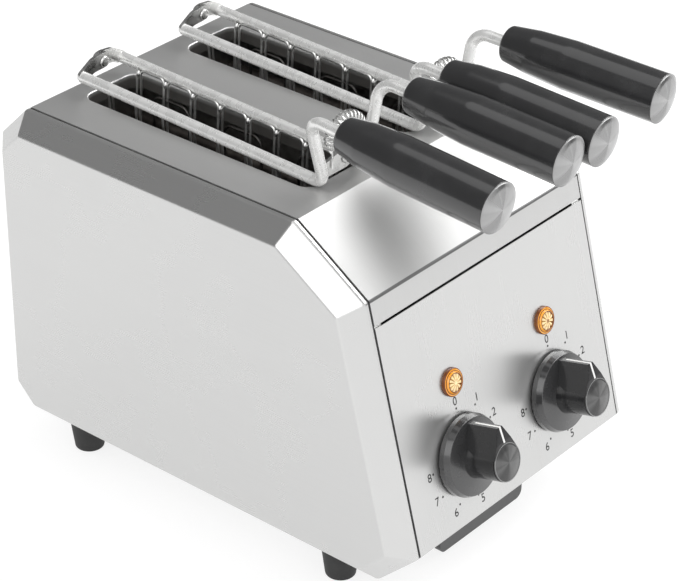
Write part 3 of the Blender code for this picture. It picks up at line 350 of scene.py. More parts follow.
def new_node(tree, kind, sockets=None, output=0, **settings):
    """Add a shader node, its sockets set to values or linked, and give back one of its outputs."""
    made = put(tree.nodes.new("ShaderNode" + kind), **settings)
    for key, value in (sockets or {}).items():
        if isinstance(value, bpy.types.NodeSocket):
            tree.links.new(value, made.inputs[key])
        else:
            made.inputs[key].default_value = value
    return made.outputs[output] if made.outputs else None


def blended(tree, factor, first, second):
    return new_node(tree, "Mix", {"Factor": factor, "A": first, "B": second})


def new_group(name, inputs, outputs):
    """Start a shader node group with named sockets."""
    tree = bpy.data.node_groups.new(name, "ShaderNodeTree")
    for label, kind, value in inputs:
        socket = tree.interface.new_socket(label, in_out="INPUT", socket_type="NodeSocket" + kind)
        if value is not None:
            socket.default_value = value
    for label in outputs:
        tree.interface.new_socket(label, in_out="OUTPUT", socket_type="NodeSocketFloat")
    start = tree.nodes.new("NodeGroupInput")
    end = tree.nodes.new("NodeGroupOutput")
    return tree, start.outputs, end.inputs


def brushed_group():
    """Fine lines drawn out along a stretched vector, and broader bands that follow them."""
    tree, given, result = new_group(
        "brushed_lines", [("Place", "Vector", None), ("Band", "Float", 0.2)], ["Line", "Height"])
    fine = new_node(tree, "TexNoise", {"Vector": given["Place"], "Scale": 1.0, "Detail": 4.0})
    wide = new_node(tree, "VectorMath", {0: given["Place"], "Scale": 0.07}, operation="SCALE")
    broad = new_node(tree, "TexNoise", {"Vector": wide, "Scale": 1.0, "Detail": 2.0})
    tree.links.new(blended(tree, given["Band"], fine, broad), result["Line"])
    tree.links.new(fine, result["Height"])
    return tree


def marks_group():
    """Soft clouds, as on handled metal and plastic."""
    tree, given, result = new_group(
        "handling_marks",
        [("Place", "Vector", None), ("Size", "Float", 18.0), ("Low", "Float", 0.35), ("High", "Float", 0.7)],
        ["Mark"])
    clouds = new_node(
        tree, "TexNoise",
        {"Vector": given["Place"], "Scale": given["Size"], "Detail": 3.0, "Roughness": 0.55})
    spread = new_node(
        tree, "MapRange", {"Value": clouds, "From Min": given["Low"], "From Max": given["High"]},
        interpolation_type="SMOOTHSTEP")
    tree.links.new(spread, result["Mark"])
    return tree


BRUSHED = brushed_group()
MARKS = marks_group()


def marked(tree, place, size, low, high):
    """The mask of handling marks."""
    return new_node(tree, "Group", {"Place": place, "Size": size, "Low": low, "High": high}, node_tree=MARKS)


def brushed(tree, place, stretch, band):
    """The mask and the height of brushed or drawn lines."""
    drawn = new_node(tree, "Mapping", {"Vector": place, "Scale": stretch})
    line = new_node(tree, "Group", {"Place": drawn, "Band": band}, node_tree=BRUSHED)
    return line, line.node.outputs["Height"]


def object_place(tree):
    return new_node(tree, "TexCoord", output="Object")


def finish(name, slot, colour, roughness, metallic=0.0, **sockets):
    """A material with its Principled shader and its object coordinates."""
    made = bpy.data.materials.new(name)
    made.use_nodes = True
    shader = made.node_tree.nodes["Principled BSDF"]
    shader.inputs["Base Color"].default_value = (*colour, 1.0)
    shader.inputs["Roughness"].default_value = roughness
    shader.inputs["Metallic"].default_value = metallic
    for key, value in sockets.items():
        shader.inputs[key.replace("_", " ").title().replace("Ior", "IOR")].default_value = value
    return made, made.node_tree, shader, object_place(made.node_tree)


def mix_colours(tree, factor, first, second):
    """The blend of two colours, each one given or linked."""
    node = new_node(tree, "Mix", {"Factor": factor}, data_type="RGBA").node
    ends = [socket for socket in node.inputs if socket.type == "RGBA"]
    for socket, colour in zip(ends, (first, second)):
        if isinstance(colour, tuple):
            socket.default_value = (*colour, 1.0)
        else:
            tree.links.new(colour, socket)
    return next(socket for socket in node.outputs if socket.type == "RGBA")


def vary(tree, shader, tones, tone_mask, rough, rough_mask):
    """Drive the shader's colour and roughness between two values each by masks."""
    tree.links.new(mix_colours(tree, tone_mask, *tones), shader.inputs["Base Color"])
    spread = new_node(tree, "MapRange", {"Value": rough_mask, "To Min": rough[0], "To Max": rough[1]})
    tree.links.new(spread, shader.inputs["Roughness"])


def bump(tree, shader, height, strength, distance):
    made = new_node(tree, "Bump", {"Height": height, "Strength": strength, "Distance": distance})
    tree.links.new(made, shader.inputs["Normal"])


def sheet_steel(name, stretch, tangent, dark, light, rough=(0.26, 0.30), aniso=0.7):
    """Brushed stainless sheet: fine lines one way, handling marks and a stretched gloss."""
    made, tree, shader, place = finish(name, STAINLESS, light, rough[0], 0.85, anisotropic=aniso)
    line, height = brushed(tree, place, stretch, 0.35)
    mark = marked(tree, place, 14.0, 0.4, 0.75)
    vary(tree, shader, (dark, light), line, rough, blended(tree, 0.5, line, mark))
    bump(tree, shader, height, 0.03, 0.0001)
    tree.links.new(new_node(tree, "CombineXYZ", dict(zip("XYZ", tangent))), shader.inputs["Tangent"])
    return made


def drawn_wire(name, slot, dark, light, rough, stretch, streak=0.5, metallic=1.0, cloud=160.0, relief=0.15):
    """Drawn bar or wire with lengthwise streaks and clouded patches."""
    made, tree, shader, place = finish(name, slot, light, rough[0], metallic)
    line, height = brushed(tree, place, stretch, 0.3)
    mark = marked(tree, place, cloud, 0.35, 0.7)
    vary(tree, shader, (dark, light), blended(tree, streak, mark, line), rough, mark)
    bump(tree, shader, height, relief, 0.0003)
    return made


def moulded(name, slot, colour, worn, rough, grain=900.0, **sockets):
    """Moulded plastic or rubber with a fine skin and slight scuffing."""
    made, tree, shader, place = finish(name, slot, colour, rough[0], 0.0, **sockets)
    mark = marked(tree, place, 60.0, 0.4, 0.8)
    vary(tree, shader, (colour, worn), mark, rough, mark)
    skin = new_node(tree, "TexNoise", {"Vector": place, "Scale": grain, "Detail": 2.0})
    bump(tree, shader, skin, 0.08, 0.0002)
    return made


def cut_glass(name, clear, deep, rough):
    """A star cut lens: painted shade along the valleys of its cuts, and a faint painted glow."""
    # The emission is a painted glow; the lamp is not lit.
    made, tree, shader, place = finish(
        name, AMBER, clear, rough[0], 0.0, coat_weight=0.6, emission_color=(1.0, 0.62, 0.2, 1.0),
        emission_strength=0.2)
    cut = new_node(tree, "Attribute", output="Fac", attribute_name="groove")
    mark = marked(tree, place, 900.0, 0.3, 0.7)
    # Painted shade: the valleys of the cuts are darkened, with some random clouding.
    shade = new_node(tree, "Math", {0: mark, 1: 0.35, 2: cut}, operation="MULTIPLY_ADD", use_clamp=True)
    vary(tree, shader, (clear, deep), shade, rough, mark)
    return made


def spun(name, centre, axis, dark, light, rough, metallic, aniso):
    """A face turned on a lathe: rings round its centre, a gloss that fans out from it, and broad light and
    dark wedges by angle painted in as a reflection.
    """
    made, tree, shader, place = finish(name, BLACK, light, rough[0], metallic, anisotropic=aniso)
    outward = new_node(tree, "VectorMath", {0: place, 1: centre}, operation="SUBTRACT")
    round_way = new_node(tree, "VectorMath", {0: outward, 1: axis}, operation="CROSS_PRODUCT")
    tree.links.new(round_way, shader.inputs["Tangent"])
    reach = new_node(tree, "VectorMath", {0: round_way}, "Value", operation="LENGTH")
    rings = new_node(tree, "TexNoise", {"W": reach, "Scale": 2500.0, "Detail": 2.0}, noise_dimensions="1D")
    heading = new_node(tree, "VectorMath", {0: round_way}, operation="NORMALIZE")
    # Broad light and dark wedges by angle round the axis are a painted reflection; the fine lathe rings are
    # real.
    rings_and_painted_wedges = blended(tree, 0.8, rings, marked(tree, heading, 0.55, 0.40, 0.60))
    vary(tree, shader, (dark, light), rings_and_painted_wedges, rough, rings_and_painted_wedges)
    bump(tree, shader, rings, 0.05, 0.0001)
    return made


def tint(made, mask, tone):
    """Lay a tone over a material's colour where a mask is 1."""
    tree = made.node_tree
    colour = tree.nodes["Principled BSDF"].inputs["Base Color"]
    tree.links.new(mix_colours(tree, mask, colour.links[0].from_socket, tone), colour)


def heat_tint(made, front, back, level, tone):
    """Painted shade: darken the collar walls where the sheet turns down into the slots."""
    tree = made.node_tree
    parts = new_node(tree, "SeparateXYZ", {"Vector": object_place(tree)}).node.outputs
    mask = 1.0
    for axis, start, end, low in (
            ("Y", front - 0.003, front - 0.002, 0.0),
            ("Y", back + 0.002, back + 0.003, 1.0),
            ("Z", level - 0.0035, level - 0.0012, 1.0)):
        limits = {"From Min": start, "From Max": end, "To Min": low, "To Max": 1.0 - low}
        step = new_node(tree, "MapRange", {"Value": parts[axis], **limits})
        mask = new_node(tree, "Math", {0: mask, 1: step}, operation="MULTIPLY")
    tint(made, mask, tone)


def crushed_fold(made, fold, reach, tone):
    """Painted shade: a dark line laid on the sheet where it is folded along x, standing for the dark
    reflection in the bend.
    """
    tree = made.node_tree
    section = new_node(tree, "VectorMath", {0: object_place(tree), 1: (0.0, 1.0, 1.0)}, operation="MULTIPLY")
    away = new_node(tree, "VectorMath", {0: section, 1: (0.0, fold.y, fold.z)}, "Value", operation="DISTANCE")
    limits = {"From Min": reach, "From Max": reach * 0.7, "To Min": 0.0, "To Max": 1.0}
    tint(made, new_node(tree, "MapRange", {"Value": away, **limits}), tone)


def grey(level, warm=0.01):
    return (level, level, level - warm)


# The cover, panel and side are one stainless sheet; their tones are set apart, the panel's darker, as painted
# shade for how each is lit.
cover_steel = sheet_steel("cover_steel", *CROSSWISE, grey(0.635, 0.005), grey(0.68, 0.005), (0.44, 0.50), 0.3)
panel_steel = sheet_steel("panel_steel", *CROSSWISE, grey(0.605, 0.005), grey(0.645, 0.005))
side_steel = sheet_steel("side_steel", *LEVEL, grey(0.635, 0.005), grey(0.675, 0.005))
# Painted shade: a dark line along the fold between the slope and the lip
crushed_fold(cover_steel, at(0, LIP_Y, LIP_Z), 0.0012, grey(0.19, 0))
# Painted shade down the collar walls inside the slots
heat_tint(
    cover_steel, SLOT_FRONT - MIDDLE_Y, SLOT_BACK - MIDDLE_Y, CASING_HEIGHT + FOOT_HEIGHT, (0.26, 0.25, 0.24))
inner_steel = drawn_wire("inner_sheet", STAINLESS, grey(0.30), grey(0.42), (0.35, 0.5), (60.0,) * 3)
mirror_steel = drawn_wire("reflector_sheet", BRIGHT, grey(0.40), grey(0.55), (0.3, 0.42), (300.0, 12.0, 12.0))
zinc_bar = drawn_wire(
    "zinc_bar", STAINLESS, grey(0.72), grey(0.98), (0.24, 0.34), (900.0, 110.0, 900.0), 0.75, 0.5, 170.0,
    0.01)
lug_steel = drawn_wire("lug_plate", STAINLESS, grey(0.60), grey(0.74), (0.25, 0.4), (60.0, 400.0, 400.0))
spring_steel = drawn_wire("spring_wire", STAINLESS, grey(0.66), grey(0.86), (0.22, 0.32), (400.0,) * 3)
screw_steel = drawn_wire("screw_steel", STAINLESS, grey(0.58), grey(0.72), (0.22, 0.35), (300.0,) * 3)
chrome_wire = drawn_wire("cage_wire", BRIGHT, grey(0.66), grey(0.84), (0.34, 0.46), (400.0, 400.0, 40.0))
weld_bead = drawn_wire("weld_bead", BRIGHT, grey(0.86), grey(0.98), (0.30, 0.42), (500.0,) * 3)
guard_wire = drawn_wire(
    "guard_wire", BRIGHT, (0.09, 0.085, 0.08), (0.17, 0.165, 0.16), (0.4, 0.55), (400.0, 400.0, 40.0))
element_sheath = drawn_wire(
    "element_sheath", "sheathed_element", (0.07, 0.06, 0.055), (0.16, 0.145, 0.13), (0.4, 0.6),
    (300.0, 40.0, 300.0), 0.4, 0.7)
black_grip = moulded(
    "grip_plastic", BLACK, grey(0.024, -0.001), grey(0.031, -0.001), (0.22, 0.28), coat_weight=0.9,
    coat_roughness=0.09)
# The knob's grip and fin and its skirt are one black plastic: the grip's darker tone is painted shade and the
# skirt's lighter tone painted light.
black_knob = moulded(
    "knob_plastic", BLACK, grey(0.013, -0.001), grey(0.018, -0.001), (0.15, 0.21), specular_ior_level=0.5)
skirt_black = moulded(
    "skirt_plastic", BLACK, grey(0.030, -0.001), grey(0.040, -0.001), (0.24, 0.30), coat_weight=0.9,
    coat_roughness=0.12)
# Grey for the ring at each knob cap's edge: a painted highlight for the glint on its bevel
rim_highlight_grey = moulded("painted_rim_highlight", BLACK, grey(0.21, 0), grey(0.25, 0), (0.2, 0.26))
handle_black = moulded("handle_plastic", BLACK, grey(0.075, -0.001), grey(0.085, -0.001), (0.3, 0.36))
black_gland = moulded("gland_plastic", BLACK, grey(0.018, 0), grey(0.03, 0), (0.4, 0.5))
foot_rubber = moulded("foot_rubber", "black_rubber", grey(0.020, 0), grey(0.05, 0), (0.6, 0.75), 600.0)
timer_case = moulded("timer_case", BLACK, grey(0.03, 0), grey(0.05, 0), (0.45, 0.6))
white_paint = moulded("pointer_paint", BLACK, grey(0.86), grey(0.78), (0.35, 0.45))
dial_ink = moulded("dial_ink", BLACK, grey(0.010, 0), grey(0.016, 0), (0.45, 0.55))
# The rim's emission is a painted glow; the lamp is not lit.
amber_rim = moulded(
    "lamp_rim", AMBER, (0.92, 0.36, 0.02), (1.0, 0.58, 0.10), (0.10, 0.16), coat_weight=0.6,
    emission_color=(1.0, 0.40, 0.05, 1.0), emission_strength=0.22)
amber_groove = moulded("lamp_groove", AMBER, (0.17, 0.042, 0.004), (0.32, 0.10, 0.012), (0.16, 0.22))
amber_lens = cut_glass("lamp_lens", (1.0, 0.82, 0.46), (0.20, 0.055, 0.008), (0.08, 0.14))


def mesh_of(name, bm):
    mesh = bpy.data.meshes.new(name)
    bm.to_mesh(mesh)
    bm.free()
    return mesh


def evaluated_mesh(obj):
    """The mesh that an object's modifiers or letters make."""
    bpy.context.view_layer.update()
    return bpy.data.meshes.new_from_object(obj.evaluated_get(bpy.context.evaluated_depsgraph_get()))


def piece(name, bm, material, node=None, body=None, sheet=0.0, edge=0.0, sharp=32):
    """Turn a finished shape into a piece that rides on its body and stands for its node."""
    obj = new_object(name, mesh_of(name, bm))
    if sheet:
        put(obj.modifiers.new("sheet", "SOLIDIFY"), thickness=sheet, offset=-1, use_even_offset=True)
    if edge:
        put(obj.modifiers.new("edge", "BEVEL"), width=edge, segments=3, limit_method="ANGLE",
            angle_limit=radians(20), use_clamp_overlap=True)
    if obj.modifiers:
        made = evaluated_mesh(obj)
        obj.modifiers.clear()
        obj.data = made
        made.name = name
    mesh = obj.data
    mesh.materials.clear()
    mesh.materials.append(material)
    mesh.shade_smooth()
    mesh.set_sharp_from_angle(angle=radians(sharp))
    put(obj.modifiers.new("even shading", "WEIGHTED_NORMAL"), keep_sharp=True, weight=80)
    return place_piece(obj, node, body)


def place_piece(obj, node, body):
    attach(obj, body or frame["nodes"][node]["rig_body"])
    if node:
        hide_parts(node)
    return obj


def shares(count):
    """The steps from 0 to 1."""
    return [step / count for step in range(count + 1)]


def only(kind, made):
    """The corners or the faces among what an operator made."""
    return [item for item in made["geom"] if isinstance(item, kind)]


def row_pairs(row, closed=True):
    return list(zip(row, row[1:] + row[:1])) if closed else list(zip(row, row[1:]))


def row_edges(bm, rows):
    return [bm.edges.get(pair) for row in rows for pair in row_pairs(row)]


def first_row(bm, places, closed=True):
    row = [bm.verts.new(place) for place in places]
    for pair in row_pairs(row, closed):
        bm.edges.new(pair)
    return row


def next_row(bm, row, places, closed=True):
    """Extrude a row of edges and set its new corners down in their places."""
    edges = [bm.edges.get(pair) for pair in row_pairs(row, closed)]
    fresh = set(only(BMVert, bmesh.ops.extrude_edge_only(bm, edges=edges)))
    onward = []
    for vert, place in zip(row, places):
        partner = next(edge.other_vert(vert) for edge in vert.link_edges if edge.other_vert(vert) in fresh)
        partner.co = place
        onward.append(partner)
    return onward


def loft(bm, rows, closed=True):
    made = [first_row(bm, rows[0], closed)]
    for places in rows[1:]:
        made.append(next_row(bm, made[-1], places, closed))
    return made


def fill(bm, edges, out):
    """Fill a flat region, holes and all, with faces that look out."""
    faces = only(BMFace, bmesh.ops.triangle_fill(bm, edges=edges, use_beauty=True))
    for face in faces:
        face.normal_update()
    bmesh.ops.reverse_faces(bm, faces=[face for face in faces if face.normal.dot(out) < 0])
    return faces


def look_out(bm, rank, out):
    """Turn joined faces alike, so that the one that ranks highest looks out."""
    bmesh.ops.recalc_face_normals(bm, faces=bm.faces)
    lead = max(bm.faces, key=rank)
    lead.normal_update()
    if lead.normal.dot(Vector(out)) < 0:
        bmesh.ops.reverse_faces(bm, faces=bm.faces[:])


def turned(transform, steps, profile, radii=(), corner_steps=4):
    """A shape turned about its own Z axis from a profile of radius and height with rounded corners."""
    if radii:
        path = rounded_path([Vector((r, 0, z)) for r, z in profile], radii, corner_steps)
        profile = [(point.x, point.z) for point in path]
    bm = bmesh.new()
    verts = [bm.verts.new((max(radius, 0), 0, height)) for radius, height in profile]
    for pair in row_pairs(verts, closed=False):
        bm.edges.new(pair)
    bmesh.ops.spin(
        bm, geom=bm.verts[:] + bm.edges[:], cent=(0, 0, 0), axis=(0, 0, 1), angle=2 * pi,
        steps=steps, use_merge=True)
    bmesh.ops.remove_doubles(bm, verts=bm.verts, dist=0.000002)
    bmesh.ops.dissolve_degenerate(bm, dist=0.000002, edges=bm.edges)
    bmesh.ops.recalc_face_normals(bm, faces=bm.faces)
    bmesh.ops.transform(bm, matrix=transform, verts=bm.verts)
    return bm


def prism(outline, vector, holes=()):
    """A flat plate with holes, grown along a vector."""
    bm = bmesh.new()
    rows = [first_row(bm, places) for places in (outline, *holes)]
    faces = fill(bm, row_edges(bm, rows), Vector(vector) * -1)
    moved = only(BMVert, bmesh.ops.extrude_face_region(bm, geom=faces))
    bmesh.ops.translate(bm, verts=moved, vec=vector)
    bmesh.ops.recalc_face_normals(bm, faces=bm.faces)
    return bm


def add_to(bm, other):
    """Join another shape into this one."""
    mesh = mesh_of("joined", other)
    bm.from_mesh(mesh)
    bpy.data.meshes.remove(mesh)


def wire(name, path, radius, material, node, resolution=3):
    """Round wire through a list of places."""
    curve = put(
        bpy.data.curves.new(name, "CURVE"), dimensions="3D", bevel_depth=radius,
        bevel_resolution=resolution, use_fill_caps=True)
    spline = curve.splines.new("POLY")
    spline.points.add(len(path) - 1)
    for point, spot in zip(spline.points, path):
        point.co = (*spot, 1.0)
    obj = new_object(name, curve)
    curve.materials.append(material)
    return place_piece(obj, node, None)


def side_panel(name, side):
    """A pressed side: flat face, slanted bevel, rim band and stepped flange."""
    bm = bmesh.new()

    def border():
        return [edge for edge in bm.edges if edge.is_boundary]

    def extend(edges, reach):
        grown = only(BMVert, bmesh.ops.extrude_edge_only(bm, edges=edges))
        bmesh.ops.translate(bm, verts=grown, vec=(-side * reach, 0, 0))

    face = bm.faces.new([bm.verts.new(at(side * (PANEL_HALF - BEVEL_DEPTH), y, z)) for y, z in OUTLINE])
    face.normal_update()
    if face.normal.x * side < 0:
        face.normal_flip()
    bm.normal_update()
    bmesh.ops.inset_region(
        bm, faces=[face], thickness=BEVEL_INSET, depth=BEVEL_DEPTH, use_boundary=True, use_even_offset=True)
    extend(border(), RIM_BAND)
    bend = [edge for edge in bm.edges if not edge.is_boundary]
    bmesh.ops.bevel(
        bm, geom=bend, offset=SIDE_BEND, segments=4, profile=0.5, affect="EDGES", material=-1)
    cap = bmesh.ops.contextual_create(bm, geom=border())["faces"]
    bmesh.ops.inset_region(bm, faces=cap, thickness=SHEET + GAP, use_boundary=True, use_even_offset=True)
    edges = list(cap[0].edges)
    bmesh.ops.delete(bm, geom=cap, context="FACES_ONLY")
    extend(edges, FLANGE_REACH)
    look_out(bm, lambda item: item.calc_area(), (side, 0, 0))
    piece(name + "_pressing", bm, side_steel, name, sheet=SHEET)


def slot_outline(x, margin, z):
    """A slot's rounded outline, drawn in by a margin."""
    half = SLOT_WIDTH / 2 - margin
    radius = SLOT_CORNER - margin
    front = SLOT_FRONT + margin
    back = SLOT_BACK - margin
    points = []
    corners = ((half, back), (-half, back), (-half, front), (half, front))
    for quarter, (corner_x, corner_y) in enumerate(corners):
        centre_x = corner_x - radius * (1 if corner_x > 0 else -1)
        centre_y = corner_y - radius * (1 if corner_y == back else -1)
        for share in shares(8):
            angle = (quarter + share) * pi / 2
            points.append(at(x + centre_x + radius * cos(angle), centre_y + radius * sin(angle), z))
    return points


def bent_line(points, radii):
    path = rounded_path([Vector((0, y, z)) for y, z in points], radii, 6)
    return [(point.y, point.z) for point in path]


def strip(bm, line):
    """Run a bent section across the casing and return its first and last rows."""
    left = [at(-SHEET_LEFT, y, z) for y, z in line]
    right = [at(SHEET_RIGHT, y, z) for y, z in line]
    rows = loft(bm, [left, right], closed=False)
    return (rows[0][0], rows[1][0]), (rows[0][-1], rows[1][-1])


def top_cover():
    """The folded cover with its lip, and a rolled collar round each slot."""
    middle = ((SLOT_FRONT + SLOT_BACK) / 2, CASING_HEIGHT)
    back_fold = (CASING_DEPTH, CASING_HEIGHT - BACK_TOP_CHAMFER - BACK_FOLD)
    front = bent_line([LIP_END, OUTLINE[2], OUTLINE[3], middle], (LIP_FOLD, FOLD))[:-1]
    back = bent_line([middle, OUTLINE[4], OUTLINE[5], back_fold], (FOLD, FOLD))[1:]
    bm = bmesh.new()
    front_end = strip(bm, front)[1]
    back_start = strip(bm, back)[0]
    edges = [bm.edges.get(front_end), bm.edges.get(back_start)]
    edges += [bm.edges.new(pair) for pair in zip(front_end, back_start)]
    for x in (-SLOT_CENTRE, SLOT_CENTRE):
        rows = [
            slot_outline(x, COLLAR_ROLL * (sin(turn) - 1), CASING_HEIGHT - COLLAR_ROLL * (1 - cos(turn)))
            for turn in (share * pi / 2 for share in shares(5))]
        rows.append(slot_outline(x, 0, CASING_HEIGHT - COLLAR_DEPTH))
        edges += row_edges(bm, loft(bm, rows)[:1])
    fill(bm, edges, Vector((0, 0, 1)))
    look_out(bm, lambda item: item.calc_center_median().z, (0, 0, 1))
    piece("top_cover_folded", bm, cover_steel, "top_cover", sheet=SHEET)


def drawn_in(outline, margin):
    """A convex outline of (y, z) places moved inwards by a margin."""
    corners = [Vector(place) for place in outline]
    ways = [(after - corner).normalized() for corner, after in row_pairs(corners)]
    centre = sum(corners, Vector((0, 0))) / len(corners)
    moved = []
    for index, corner in enumerate(corners):
        before, after = ways[index - 1], ways[index]
        inward = (after - before).normalized()
        if inward.dot(centre - corner) < 0:
            inward = -inward
        moved.append(corner + inward * (margin / sin((pi - before.angle(after)) / 2)))
    return moved


def seam_seal(name, side):
    """A black strip laid on a side's flange as painted shade, darkening the open seam beside the cover."""
    start = PANEL_HALF - BEVEL_DEPTH - RIM_BAND - SHADE_STRIP_OVERLAP
    end = (SHEET_LEFT if side < 0 else SHEET_RIGHT) + SHADE_STRIP_OVERLAP
    bm = bmesh.new()
    rows = loft(bm, [
        [at(side * x, y, z) for y, z in drawn_in(OUTLINE, margin)]
        for x, margin in ((start, SHADE_STRIP_TOP), (end, SHADE_STRIP_TOP), (end, SHADE_STRIP_FOOT), (start, SHADE_STRIP_FOOT))])
    for (first, second), (third, fourth) in zip(row_pairs(rows[-1]), row_pairs(rows[0])):
        bm.faces.new((first, second, fourth, third))
    bmesh.ops.recalc_face_normals(bm, faces=bm.faces)
    piece(name + "_painted_seam_shade", bm, foot_rubber, body="casing")


def ring(transform, radius, steps=32):
    turns = [2 * pi * step / steps for step in range(steps)]
    return [transform @ Vector((radius * cos(turn), radius * sin(turn), 0)) for turn in turns]


def panel_border(bm, fold, top):
    """The edges round a flat sheet, from the end of its fold to its free edge."""
    head = [bm.verts.new(at(edge, *top)) for edge in (-SHEET_LEFT, SHEET_RIGHT)]
    return [bm.edges.get(fold), bm.edges.new(head)] + [bm.edges.new(pair) for pair in zip(fold, head)]


def control_panel():
    """The leaning front sheet with its four control holes and the fold back under the casing."""
    drop = LIP_HEIGHT + LIP_GAP
    top = (LIP_Y + PANEL_DOWN.y * drop, LIP_Z + PANEL_DOWN.z * drop)
    bm = bmesh.new()
    edges = panel_border(bm, strip(bm, bent_line([OUTLINE[0], OUTLINE[1], top], (FOLD,))[:-1])[1], top)
    for x in (-SLOT_CENTRE, SLOT_CENTRE):
        for drop, radius in ((KNOB_DROP, SHAFT_HOLE), (LAMP_DROP, LAMP_STEM_RADIUS + GAP)):
            edges += row_edges(bm, [first_row(bm, ring(panel_frame(x, drop), radius))])
    fill(bm, edges, PANEL_OUT)
    look_out(bm, lambda item: item.calc_area(), PANEL_OUT)
    piece("control_panel_folded", bm, panel_steel, "control_panel", sheet=SHEET)


def back_panel():
    """The back sheet with its vents, its gland hole and the fold under the casing."""
    top = (CASING_DEPTH, CASING_HEIGHT - BACK_TOP_CHAMFER - BACK_FOLD - SEAM)
    bm = bmesh.new()
    edges = panel_border(bm, strip(bm, bent_line([top, OUTLINE[6], OUTLINE[7]], (FOLD,))[1:])[0], top)
    for index in range(VENT_COUNT):
        x = (index - (VENT_COUNT - 1) / 2) * VENT_PITCH
        places = []
        for start, reach in ((0, VENT_REACH), (pi, -VENT_REACH)):
            for turn in (start + share * pi for share in shares(16)):
                rise = VENT_LEVEL + reach + VENT_HALF_WIDTH * sin(turn)
                places.append(at(x + VENT_HALF_WIDTH * cos(turn), CASING_DEPTH, rise))
        edges += row_edges(bm, [first_row(bm, places)])
    edges += row_edges(bm, [first_row(bm, ring(facing_back(*GLAND_PLACE), GLAND_HOLE))])
    fill(bm, edges, Vector((0, 1, 0)))
    look_out(bm, lambda item: item.calc_center_median().y, (0, 1, 0))
    piece("back_panel_folded", bm, panel_steel, "back_panel", sheet=SHEET)


def foot_places():
    spread = COVER_HALF - FOOT_MARGIN
    rows = (FRONT_CHAMFER_RUN + FRONT_FOOT_MARGIN, BASE_BACK - REAR_FOOT_MARGIN)
    return [at(x, y, 0) for y in rows for x in (-spread, spread)]


def base_plate():
    """The flat base with the crumb tray's opening and the screw holes of the feet."""
    half = COVER_HALF - TRAY_MARGIN - TRAY_FLANGE
    bm = bmesh.new()
    rows = []
    for edge, front, back in (
            (COVER_HALF, FRONT_CHAMFER_RUN + BASE_END_GAP, BASE_BACK - BASE_END_GAP),
            (half, SLOT_FRONT, SLOT_BACK)):
        corners = ((-edge, front), (edge, front), (edge, back), (-edge, back))
        rows.append(first_row(bm, [at(x, y, 0) for x, y in corners]))
    for place in foot_places():
        rows.append(first_row(bm, ring(Matrix.Translation(place), FOOT_BORE, 16)))
    fill(bm, row_edges(bm, rows), Vector((0, 0, -1)))
    piece("base_plate_sheet", bm, panel_steel, "base_plate", sheet=SHEET)


def feet():
    """Rubber feet with hollow undersides, each held up by a screw."""
    names = ("front_left_foot", "front_right_foot", "rear_left_foot", "rear_right_foot")
    rubber = [
        (FOOT_BORE, -GAP), (0.012, -GAP), (0.0090, -FOOT_HEIGHT), (0.0048, -FOOT_HEIGHT), (0.0048, -0.014),
        (FOOT_BORE, -0.014), (FOOT_BORE, -GAP)]
    screw = [(0, 0.005), (0.002, 0.005), (0.002, -0.0143), (0.004, -0.0143), (0.004, -0.0168), (0, -0.0168)]
    for name, place in zip(names, foot_places()):
        move = Matrix.Translation(place)
        shape = turned(move, 48, rubber, (0.0008, 0.0014, 0.0006, 0.0002, 0.0002))
        piece(name + "_moulded", shape, foot_rubber, name)
        shape = turned(move, 24, screw, (0.0005, 0.0001, 0.0003, 0.0015))
        piece(name + "_screw_turned", shape, screw_steel, name + "_screw")


def crumb_tray():
    """The tray's folded sheet with its two end walls, and its moulded handle."""
    top = -GAP - TRAY_DROP
    low = top - TRAY_DEPTH
    half = COVER_HALF - TRAY_MARGIN
    brim = half + TRAY_FLANGE
    front = FRONT_CHAMFER_RUN + TRAY_FRONT_MARGIN
    section = ((-brim, top), (-half, top), (-half, low), (half, low), (half, top), (brim, top))
    line = rounded_path([Vector((x, 0, z)) for x, z in section], (0.0012,) * 4, 4)
    bm = bmesh.new()
    rows = [[at(point.x, y, point.z) for point in line] for y in (front, BASE_BACK - TRAY_BACK_MARGIN)]
    for row in loft(bm, rows, closed=False):
        bmesh.ops.contextual_create(bm, geom=[vert for vert in row if abs(vert.co.x) < half + 0.0001])
    look_out(bm, lambda item: -item.calc_center_median().z, (0, 0, -1))
    piece("crumb_tray_sheet", bm, panel_steel, "crumb_tray", sheet=TRAY_SHEET)
    corners = [(-HANDLE_HALF, 0), (-HANDLE_HALF, -HANDLE_DROP), (HANDLE_HALF, -HANDLE_DROP), (HANDLE_HALF, 0)]
    outline = rounded_path(
        [at(HANDLE_ASIDE + x, front - GAP, top + z) for x, z in corners], (HANDLE_CORNER,) * 2, 8)
    handle = prism(outline, (0, -HANDLE_THICKNESS, 0))
    piece("crumb_tray_handle_moulded", handle, handle_black, "crumb_tray_handle", edge=0.0008)


